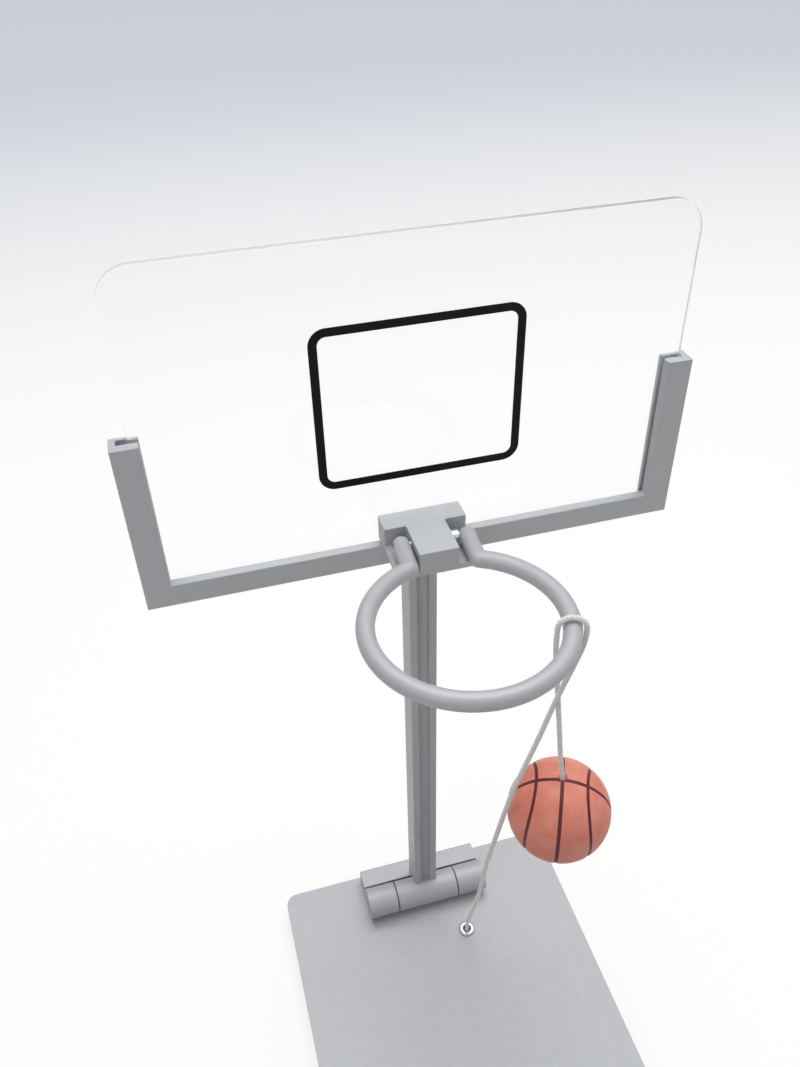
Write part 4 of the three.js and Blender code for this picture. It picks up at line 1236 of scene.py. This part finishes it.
class DESKHOOP_OT_ring(HoopOperator, bpy.types.Operator):
    """Bend the ring's rod, and make its pin and spacer"""

    bl_idname = "deskhoop.ring"
    bl_label = "Ring"

    def build(self):
        half = ROD_END_SPREAD / 2
        join = math.degrees(math.acos(half / HOOP_RADIUS))
        hoop = arc((0, 0), HOOP_RADIUS, join, -180 - join, 150)
        clear = 4  # points left out beside each bend
        flat = [(half, ROD_END_REACH), hoop[0], *hoop[clear:-clear], hoop[-1],
                (-half, ROD_END_REACH)]
        turn = Matrix.Rotation(-RING_TURN, 2)
        line = [RING_CENTRE.xy + turn @ Vector(point) for point in flat]
        ring = self.bent_rod("ring_rod", line, (1, len(line) - 2))
        low, high = RING_LOW.x - CUT, RING_HIGH.x + CUT
        combine(ring, [cylinder("bore", RING_BORE, low, high, RING_LINE, "x", 32)])
        finish_piece(smooth(ring, 50), "blasted_metal", "ring", "ring")

        steel_pin("ring_rod_pin", (RING_PIN_HIGH.z - RING_PIN_LOW.z) / 2, RING_PIN_LOW.x,
                  RING_PIN_HIGH.x, RING_LINE, RING_PIN_EDGE, 32, "mast", "ring_pin")
        low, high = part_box("ring_spacer")
        profile = collar(RING_BORE, (high.z - low.z) / 2, low.x, high.x, SPACER_EDGE)
        spacer = smooth(turned("rod_end_spacer", profile, RING_LINE, "x", 40), 40)
        finish_piece(spacer, "plated_steel", "mast", "ring_spacer")

    def bent_rod(self, name, line, corners, sides=28):
        """A round rod along a flat line, with domed ends and a tight bend at each corner."""
        points = [Vector((x, y, RING_AXIS.z)) for x, y in line]
        dome = arc((0, 0), 1, 75, 15, 4)
        shape = bmesh.new()
        up = Vector((0, 0, 1))
        circle = [(math.cos(FULL_TURN * i / sides), math.sin(FULL_TURN * i / sides))
                  for i in range(sides)]
        rings = []

        def add_ring(centre, forward, scale):
            across = up.cross(forward).normalized()
            rings.append([shape.verts.new(centre + ROD_RADIUS * scale * (across * a + up * b))
                          for a, b in circle])

        def add_bend(centre, before, after, steps=8):
            """Its outside is round about the corner, and its inside meets in a mitre."""
            turn = math.copysign(before.angle(after), before.cross(after).z)
            mitre = Matrix.Rotation(turn / 2, 3, "Z") @ up.cross(before) / math.cos(turn / 2)
            for step in range(steps + 1):
                across = Matrix.Rotation(turn * step / steps, 3, "Z") @ up.cross(before)
                rings.append([shape.verts.new(centre + ROD_RADIUS * (
                    (mitre if a * turn > 0 else across) * a + up * b)) for a, b in circle])

        first = (points[1] - points[0]).normalized()
        last = (points[-1] - points[-2]).normalized()
        for narrow, out in dome:
            add_ring(points[0] - first * ROD_DOME * out, first, narrow)
        for i, point in enumerate(points):
            before = (point - points[i - 1]).normalized() if i else first
            after = (points[i + 1] - point).normalized() if i + 1 < len(points) else last
            if i in corners:
                add_bend(point, before, after)
            else:
                add_ring(point, before + after, 1)
        for narrow, out in reversed(dome):
            add_ring(points[-1] + last * ROD_DOME * out, last, narrow)
        for one, two in zip(rings, rings[1:]):
            bridge(shape, one, two)
        for end, ring in ((points[0] - first * ROD_DOME, rings[0]),
                          (points[-1] + last * ROD_DOME, rings[-1])):
            tip = shape.verts.new(end)
            for i in range(sides):
                shape.faces.new((tip, ring[i], ring[(i + 1) % sides]))
        return from_bmesh(name, shape)


class DESKHOOP_OT_ball(HoopOperator, bpy.types.Operator):
    """Mould the ball with its seams and cord hole"""

    bl_idname = "deskhoop.ball"
    bl_label = "Ball"

    def build(self, cells=124):
        ball = settings().ball
        steps = np.tan(np.linspace(-1, 1, cells + 1) * math.pi / 4)
        u, v = np.meshgrid(steps, steps, indexing="ij")
        one = np.ones_like(u)
        sheets = [(one, u, v), (-one, v, u), (v, one, u), (u, -one, v), (u, v, one), (v, u, -one)]
        directions = np.concatenate([np.stack(sheet, -1).reshape(-1, 3) for sheet in sheets])
        directions /= np.linalg.norm(directions, axis=1)[:, None]
        size = cells + 1
        corner = (np.arange(cells)[:, None] * size + np.arange(cells)[None, :]).reshape(-1)
        quads = np.stack([corner, corner + size, corner + size + 1, corner + 1], -1)
        faces = np.concatenate([quads + index * size * size for index in range(len(sheets))])

        seam = self.seam_mask(directions, ball)
        across = np.hypot(directions[:, 0], directions[:, 1]) * BALL_RADIUS
        hole = self.eased((BALL_HOLE_RADIUS * 1.15 - across) / BALL_HOLE_SLOPE)
        hole = hole * (directions[:, 2] > 0)
        depth = ball.seam_depth * seam + hole * BALL_HOLE_DEPTH
        points = directions * (BALL_RADIUS - depth)[:, None] + np.array(BALL_CENTRE)

        mesh = bpy.data.meshes.new("moulded_ball")
        mesh.from_pydata(points.tolist(), [], faces.tolist())
        mask = mesh.attributes.new("seam", "FLOAT", "POINT")
        mask.data.foreach_set("value", seam.astype(np.float32))
        shape = bmesh.new()
        shape.from_mesh(mesh)
        bmesh.ops.remove_doubles(shape, verts=shape.verts, dist=1e-6)
        bmesh.ops.recalc_face_normals(shape, faces=shape.faces)
        shape.to_mesh(mesh)
        shape.free()
        mesh.shade_smooth()
        finish_piece(as_object("moulded_ball", mesh), "ball_skin", "ball", "ball")

    def eased(self, values):
        """The values from 0 to 1, with a soft start and end."""
        values = np.clip(values, 0, 1)
        return values * values * (3 - 2 * values)

    def seam_mask(self, directions, ball):
        """1 in the middle of a seam and 0 beside it.

        Two great circles cross at the cord, and two loops lie beside them.
        """
        turn = ball.turn
        directions = directions @ np.array(Matrix.Rotation(ball.lean, 3, SEAM_LEAN_AXIS))
        lengthwise = directions @ np.array([math.cos(turn), math.sin(turn), 0])
        crosswise = directions @ np.array([math.sin(turn), -math.cos(turn), 0])
        around = np.arctan2(lengthwise, directions[:, 2])
        loop = SEAM_LOOP_ANGLE + SEAM_LOOP_SWELL * np.cos(2 * around)
        distances = [np.abs(np.arcsin(np.clip(crosswise, -1, 1))),
                     np.abs(np.arcsin(np.clip(lengthwise, -1, 1))),
                     np.abs(np.arccos(np.clip(np.abs(crosswise), -1, 1)) - loop)]
        nearest = np.min(distances, axis=0) * BALL_RADIUS
        return self.eased((ball.seam_width * 0.72 - nearest) / (ball.seam_width * 0.44))


class DESKHOOP_OT_launcher(HoopOperator, bpy.types.Operator):
    """Make the flick lever, its cup, pad, pin and brackets"""

    bl_idname = "deskhoop.launcher"
    bl_label = "Launcher"

    def build(self):
        edge = settings().metal.edge * 0.7
        self.build_lever(edge)
        self.build_cup()
        for side, sign in (("left", -1), ("right", 1)):
            self.build_ear(side, sign, edge)
        reach = EAR_INNER + EAR_THICKNESS
        steel_pin("launcher_rod", LEVER_PIN, -reach, reach, FLICK_LINE, LEVER_PIN_EDGE, 40, "base",
                  "launcher_pin", LAUNCHER_PLACE)
        seat = PLATE_TOP + EAR_THICKNESS + SEAT_GAP
        screws("launcher_screws", [(-EAR_SCREW_X, 0, seat), (EAR_SCREW_X, 0, seat)], (0, 0, 1),
               LAUNCHER_SCREW, "base", "launcher_screw_left", "launcher_screw_right",
               place=LAUNCHER_PLACE)
        screws("cup_fixing_screw", [(0, -LEVER_ARM, LEVER_TOP + CUP_FLOOR + SEAT_GAP)], (0, 0, 1),
               CUP_SCREW, "lever", "cup_screw", place=LAUNCHER_PLACE)

    def pin_bore(self, low, high):
        low, high = min(low, high) - CUT, max(low, high) + CUT
        return cylinder("bore", LEVER_PIN + BORE_PLAY, low, high, FLICK_LINE, "x", 40)

    def build_lever(self, edge):
        half, thick = LEVER_WIDTH / 2, LEVER_THICKNESS / 2
        rise = Matrix.Translation(FLICK_LINE) @ Matrix.Rotation(LEVER_TAIL_RISE, 4, "X")
        blade = rounded(-half, -LEVER_ARM - half, half, 0, half * 0.98, 0)
        lever = prism("flick_lever", blade, LEVER_UNDERSIDE, LEVER_TOP)
        hub = cylinder("hub", LEVER_HUB, -half, half, FLICK_LINE, "x")
        fill = slab("fill", (-half, -LEVER_HUB, LEVER_UNDERSIDE + LEVER_FILL_INSET),
                    (half, -LEVER_FILL_INSET, FLICK_AXIS.z))
        tail = prism("tail", rounded(-half, 0, half, LEVER_TAIL, 0, half * 0.6), -thick, thick)
        tail.data.transform(rise)
        combine(lever, [fill, hub, tail], "UNION")
        soften(combine(lever, [self.pin_bore(-half, half)]), edge)
        finish_piece(lever, "blasted_metal", "lever", "launch_lever", place=LAUNCHER_PLACE)

        low = thick + PAD_LIFT
        high = low + PAD_THICKNESS
        y0, y1 = LEVER_TAIL - PAD_LENGTH, LEVER_TAIL - PAD_MARGIN
        pad = prism("thumb_pad", rounded(
            -half + PAD_MARGIN, y0, half - PAD_MARGIN, y1, PAD_CORNER, half * 0.55), low, high)
        gaps = [y0 + (y1 - y0) * (i + 0.8) / (PAD_RIB_GAPS + 0.6) for i in range(PAD_RIB_GAPS)]
        combine(pad, [slab("rib_gap", (-half - CUT, y - PAD_GAP_HALF, high - PAD_GAP_DEPTH),
                           (half + CUT, y + PAD_GAP_HALF, high + CUT)) for y in gaps])
        soften(pad, PAD_EDGE, 2)
        finish_piece(pad, "black_rubber", "lever", "lever_pad", place=LAUNCHER_PLACE @ rise)

    def build_cup(self):
        floor = LEVER_TOP + CUP_LIFT
        lip = CUP_WALL / 2
        inner = LEVER_TOP + CUP_FLOOR
        slope = (CUP_RADIUS - CUP_BASE) / (CUP_RIM - floor)
        profile = [(CUP_BORE, floor), (CUP_BASE - 0.4 * MM, floor), (CUP_BASE, floor + 0.3 * MM)]
        profile += [(CUP_BASE + slope * (t - floor), t)
                    for t in np.linspace(floor + 1.2 * MM, CUP_RIM - 2 * lip, 5)]
        profile += rolled(CUP_RADIUS - lip, CUP_RIM - lip, lip, -10, 170, 12)
        profile += [(CUP_BASE - 0.55 * MM + slope * (t - inner), t)
                    for t in np.linspace(CUP_RIM - 2.2 * lip, inner + 0.9 * MM, 6)]
        profile += [(CUP_BASE - 0.9 * MM, inner + 0.25 * MM), (CUP_BASE - 1.5 * MM, inner),
                    (CUP_BORE, inner)]
        cup = smooth(turned("launch_cup_spun", profile, (0, -LEVER_ARM, 0), segments=96), 50)
        finish_piece(cup, "blasted_metal", "lever", "launch_cup", place=LAUNCHER_PLACE)

    def build_ear(self, side, sign, edge):
        inner, outer = sign * EAR_INNER, sign * (EAR_INNER + EAR_THICKNESS)
        reach = sign * (EAR_INNER + EAR_THICKNESS + EAR_FLANGE)
        outline = [(-EAR_RADIUS, PLATE_TOP), (EAR_RADIUS, PLATE_TOP)]
        outline += arc(FLICK_LINE[1:], EAR_RADIUS, 0, 180, 32)
        ear = prism("launcher_ear_" + side, outline, min(inner, outer), max(inner, outer), "x")
        length = EAR_FLANGE_LENGTH / 2
        flange = prism("flange", rounded(
            min(inner, reach), -length, max(inner, reach), length,
            EAR_FLANGE_CORNER, EAR_FLANGE_CORNER), PLATE_TOP, PLATE_TOP + EAR_THICKNESS)
        combine(ear, [flange], "UNION")
        soften(combine(ear, [self.pin_bore(inner, outer)]), edge)
        finish_piece(ear, "blasted_metal", "base", "launcher_bracket_" + side, place=LAUNCHER_PLACE)


class DESKHOOP_OT_stage(HoopOperator, bpy.types.Operator):
    """Lay the pale floor and set the soft studio light"""

    bl_idname = "deskhoop.stage"
    bl_label = "Stage"

    def build(self):
        stage = settings().stage
        floor = slab("studio_floor", FLOOR_LOW, FLOOR_HIGH)
        floor.data.materials.append(self.floor_material(stage))

        scene = bpy.context.scene
        scene.view_settings.view_transform = "Standard"
        scene.world = bpy.data.worlds.new("studio_world")
        scene.world.use_nodes = True
        tree = scene.world.node_tree
        tree.nodes.clear()
        even = wire(tree, "ShaderNodeBackground", {"Color": EVEN_LIGHT, "Strength": stage.world})
        shown = wire(tree, "ShaderNodeBackground", {"Color": SEEN_SKY, "Strength": 1.0})
        sky = mix_shaders(tree, self.seen(tree), even, shown)
        wire(tree, "ShaderNodeOutputWorld", {0: sky})

        for name, place, size, share in LAMPS:
            data = bpy.data.lights.new(name, "AREA")
            data.shape = "SQUARE"
            data.size = size
            data.energy = stage.key * share
            lamp = as_object(name, data)
            lamp.location = place
            lamp.rotation_mode = "QUATERNION"
            lamp.rotation_quaternion = (LAMP_FOCUS - Vector(place)).to_track_quat("-Z", "Y")

    def seen(self, tree):
        """1 on rays from the camera, straight or by way of metal or glass."""
        rays = wire(tree, "ShaderNodeLightPath").outputs
        return maths(tree, "MAXIMUM", rays["Is Camera Ray"],
                     maths(tree, "MAXIMUM", rays["Is Glossy Ray"], rays["Is Transmission Ray"]))

    def floor_material(self, stage):
        """Pale paper that glows a little where it is seen, and is a plain grey to other rays."""
        finish, tree, shader, where = new_material("studio_floor")
        tree.nodes.remove(shader)
        fade = ramp(tree, separated(tree, where, "Y"), *FLOOR_FADE)
        colour = blend_colours(tree, fade, shade(stage.floor), shade(stage.far))
        paper = ramp(tree, noise(tree, where, 300.0, 3.0), 0.3, 0.8, 0.0, 0.015)
        colour = blend_colours(tree, paper, colour, (0.8, 0.8, 0.8, 1))
        glow = wire(tree, "ShaderNodeEmission", {"Color": colour, "Strength": FLOOR_GLOW})
        matt = wire(tree, "ShaderNodeBsdfDiffuse", {
            "Color": blend_colours(tree, FLOOR_SHADOW, colour, (0, 0, 0, 1))})
        shown = wire(tree, "ShaderNodeAddShader", {0: glow.outputs[0], 1: matt.outputs[0]})
        bounced = wire(tree, "ShaderNodeBsdfDiffuse", {"Color": FLOOR_BOUNCE})
        feed(tree, tree.nodes["Material Output"], {
            "Surface": mix_shaders(tree, self.seen(tree), bounced, shown)})
        return finish


class DESKHOOP_PT_pieces(bpy.types.Panel):
    """The game's pieces and settings"""

    bl_idname = "DESKHOOP_PT_pieces"
    bl_label = "Desk Hoop"
    bl_space_type = "VIEW_3D"
    bl_region_type = "UI"
    bl_category = "Desk Hoop"

    def draw(self, context):
        for operator in OPERATORS:
            self.layout.operator(operator.bl_idname)
        for name in ("metal", "board", "ball", "cord", "stage"):
            group = getattr(context.scene.desk_hoop, name)
            box = self.layout.box()
            box.label(text=name.capitalize())
            for setting in group.bl_rna.properties.keys():
                if setting not in ("rna_type", "name"):
                    box.prop(group, setting)


OPERATORS = (
    DESKHOOP_OT_camera, DESKHOOP_OT_cord, DESKHOOP_OT_base, DESKHOOP_OT_hinge, DESKHOOP_OT_mast,
    DESKHOOP_OT_board, DESKHOOP_OT_bracket, DESKHOOP_OT_ring, DESKHOOP_OT_ball,
    DESKHOOP_OT_launcher, DESKHOOP_OT_stage,
)
CLASSES = (
    MetalSettings, BoardSettings, BallSettings, CordSettings, StageSettings, DeskHoopSettings,
    *OPERATORS, DESKHOOP_PT_pieces,
)


def register():
    for cls in CLASSES:
        bpy.utils.register_class(cls)
    bpy.types.Scene.desk_hoop = PointerProperty(type=DeskHoopSettings)


def unregister():
    del bpy.types.Scene.desk_hoop
    for cls in reversed(CLASSES):
        bpy.utils.unregister_class(cls)


def main():
    register()
    for operator in OPERATORS:
        getattr(bpy.ops.deskhoop, operator.bl_idname.split(".")[1])()


if __name__ == "__main__":
    main()
